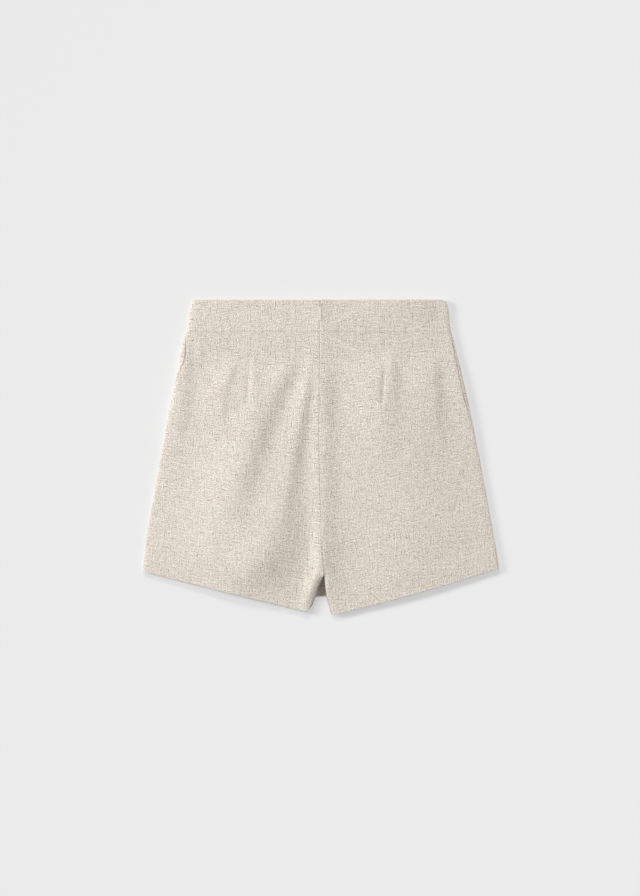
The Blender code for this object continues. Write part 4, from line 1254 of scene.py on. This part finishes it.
def fork_painted_shade(points):
    """Share of painted shade on the lower layer between the legs, from 0 to 1: the linen's colour
    is darkened there, where the legs shade it.
    """
    x, down, z = points[:, :, 0], points[:, :, 1], points[:, :, 2]
    middle = np.interp(down, FORK_PAINTED_SHADE_DOWN, FORK_PAINTED_SHADE_X)
    near = np.exp(-(((x - middle) / FORK_PAINTED_SHADE_WIDTH) ** 2)) * step(*FORK_PAINTED_SHADE_START, down)
    return 0.0 * z + FORK_PAINTED_SHADE * near * (1.0 - FORK_PAINTED_SHADE_LESS_AT_HEM * step(*FORK_PAINTED_SHADE_HEM, down))


def leg_wall_painted_shade(points):
    """Share of painted shade on the inner walls of the back legs below the fork, from 0 to 1, more
    the lower a point lies on its wall.
    """
    down, z = points[:, :, 1], points[:, :, 2]
    top = z[:, TURN_COLUMNS:TURN_COLUMNS + 1]
    depth = np.clip((top - z) / (top - HEM_SOLID), 0.0, 1.0)
    depth[:, TURN_COLUMNS:] = 0.0
    below = step(-WALL_PAINTED_SHADE_FADE, WALL_PAINTED_SHADE_FADE, down - CROTCH_DOWN)
    return WALL_PAINTED_SHADE * depth**WALL_PAINTED_SHADE_POWER * below


class CULOTTES_OT_back_panels(bpy.types.Operator):
    """Make the two back legs with their darts, slack folds and turned-up hems"""

    bl_idname = "culottes.back_panels"
    bl_label = "Back legs"

    def execute(self, context):
        cloth = context.scene.culottes_cloth
        linen = linen_material(cloth)
        for side in ("left", "right"):
            rows = hem_rows(*BACK_ROWS, LEG_FOOT[side] - WAISTBAND_DEPTH)
            points = back_panel_points(side, rows)
            name = "back_" + side + "_leg_cloth"
            # The legs' inner walls below the fork carry painted shade
            piece = cloth_object(
                name, points, TURN_COLUMNS, True, linen, cloth.wall, leg_wall_painted_shade
            )
            place_piece(piece, GARMENT, "back_" + side + "_panel")
        return {"FINISHED"}


class CULOTTES_OT_front_panels(bpy.types.Operator):
    """Make the two front legs that the garment rests on"""

    bl_idname = "culottes.front_panels"
    bl_label = "Front legs"

    def execute(self, context):
        cloth = context.scene.culottes_cloth
        linen = linen_material(cloth)
        for side in ("left", "right"):
            rows = hem_rows(*FRONT_ROWS, LEG_FOOT[side] - WAISTBAND_DEPTH)
            points = front_panel_points(side, rows)
            name = "front_" + side + "_leg_cloth"
            start = len(FRONT_EDGE) - 1
            # The lower layer between the legs carries painted shade
            piece = cloth_object(name, points, start, False, linen, cloth.wall, fork_painted_shade)
            place_piece(piece, GARMENT, "front_" + side + "_panel")
        return {"FINISHED"}


class CULOTTES_OT_waistband(bpy.types.Operator):
    """Make the doubled waistband: two back halves and the front in one piece"""

    bl_idname = "culottes.waistband"
    bl_label = "Waistband"

    def execute(self, context):
        cloth = context.scene.culottes_cloth
        linen = linen_material(cloth)
        for side in ("left", "right"):
            points = back_band_points(side)
            name = "back_" + side + "_band_cloth"
            piece = cloth_object(name, points, BAND_TURN_COLUMNS, True, linen, cloth.wall)
            place_piece(piece, GARMENT, "back_" + side + "_waistband")
        points = front_band_points()
        start = FRONT_BAND_ROLL_COLUMNS
        piece = cloth_object("front_band_cloth", points, start, False, linen, cloth.wall)
        place_piece(piece, GARMENT, "front_waistband")
        return {"FINISHED"}


class CULOTTES_OT_pocket_bags(bpy.types.Operator):
    """Give the pocket bags their fine cotton finish"""

    bl_idname = "culottes.pocket_bags"
    bl_label = "Pocket bags"

    def execute(self, context):
        # Fine plain cotton, dull and even. Its threads lie about 0.3 mm apart, and its grain is
        # drawn at 0.8 mm so that it shows
        cotton = plain_material(
            "Cotton pocketing", "D9D0C2", roughness=0.9, scale_mm=0.8, depth_mm=0.1, specular=0.2
        )
        for side in ("left", "right"):
            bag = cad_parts[side + "_pocket_bag"]
            bag.data.materials.clear()
            bag.data.materials.append(cotton)
        return {"FINISHED"}


class CULOTTES_OT_zip(bpy.types.Operator):
    """Finish the concealed zip: tapes, slider and pull tab"""

    bl_idname = "culottes.zip"
    bl_label = "Zip"

    def execute(self, context):
        # Knitted polyester, slightly glossier than the cloth, with loops about 0.5 mm apart
        tape = plain_material(
            "Polyester zip tape", "CFC4B4", roughness=0.7, scale_mm=0.5, depth_mm=0.1, specular=0.3
        )
        # Sprayed and stoved on cast zinc, so it has soft gloss and flows out in 2 mm waves
        enamel = plain_material(
            "Satin enamel on zinc", "D9D0C3", roughness=0.4, scale_mm=2.0, depth_mm=0.02,
            specular=0.5,
        )
        finishes = {
            "zip_left_tape": tape, "zip_right_tape": tape,
            "zip_slider": enamel, "zip_pull_tab": enamel,
        }
        for node, finish in finishes.items():
            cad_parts[node].data.materials.clear()
            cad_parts[node].data.materials.append(finish)
        return {"FINISHED"}


OPERATORS = (
    CULOTTES_OT_stage,
    CULOTTES_OT_front_panels,
    CULOTTES_OT_back_panels,
    CULOTTES_OT_waistband,
    CULOTTES_OT_pocket_bags,
    CULOTTES_OT_zip,
)


class CULOTTES_PT_panel(bpy.types.Panel):
    """Lists the garment's pieces in the sidebar"""

    bl_idname = "CULOTTES_PT_panel"
    bl_label = "Linen culottes"
    bl_space_type = "VIEW_3D"
    bl_region_type = "UI"
    bl_category = "Culottes"

    def draw(self, context):
        for group in (context.scene.culottes_cloth, context.scene.culottes_stage):
            box = self.layout.box()
            for name in group.bl_rna.properties.keys():
                if name not in ("rna_type", "name"):
                    box.prop(group, name)
        for operator in OPERATORS:
            self.layout.operator(operator.bl_idname)


CLASSES = (CulottesCloth, CulottesStage, *OPERATORS, CULOTTES_PT_panel)


def register():
    """Registers the classes and hangs the settings on the scene."""
    for made in CLASSES:
        bpy.utils.register_class(made)
    bpy.types.Scene.culottes_cloth = PointerProperty(type=CulottesCloth)
    bpy.types.Scene.culottes_stage = PointerProperty(type=CulottesStage)


def unregister():
    """Takes the settings and the classes away again."""
    del bpy.types.Scene.culottes_stage
    del bpy.types.Scene.culottes_cloth
    for made in reversed(CLASSES):
        bpy.utils.unregister_class(made)


def main():
    register()
    for operator in OPERATORS:
        group, name = operator.bl_idname.split(".")
        getattr(getattr(bpy.ops, group), name)()


if __name__ == "__main__":
    main()
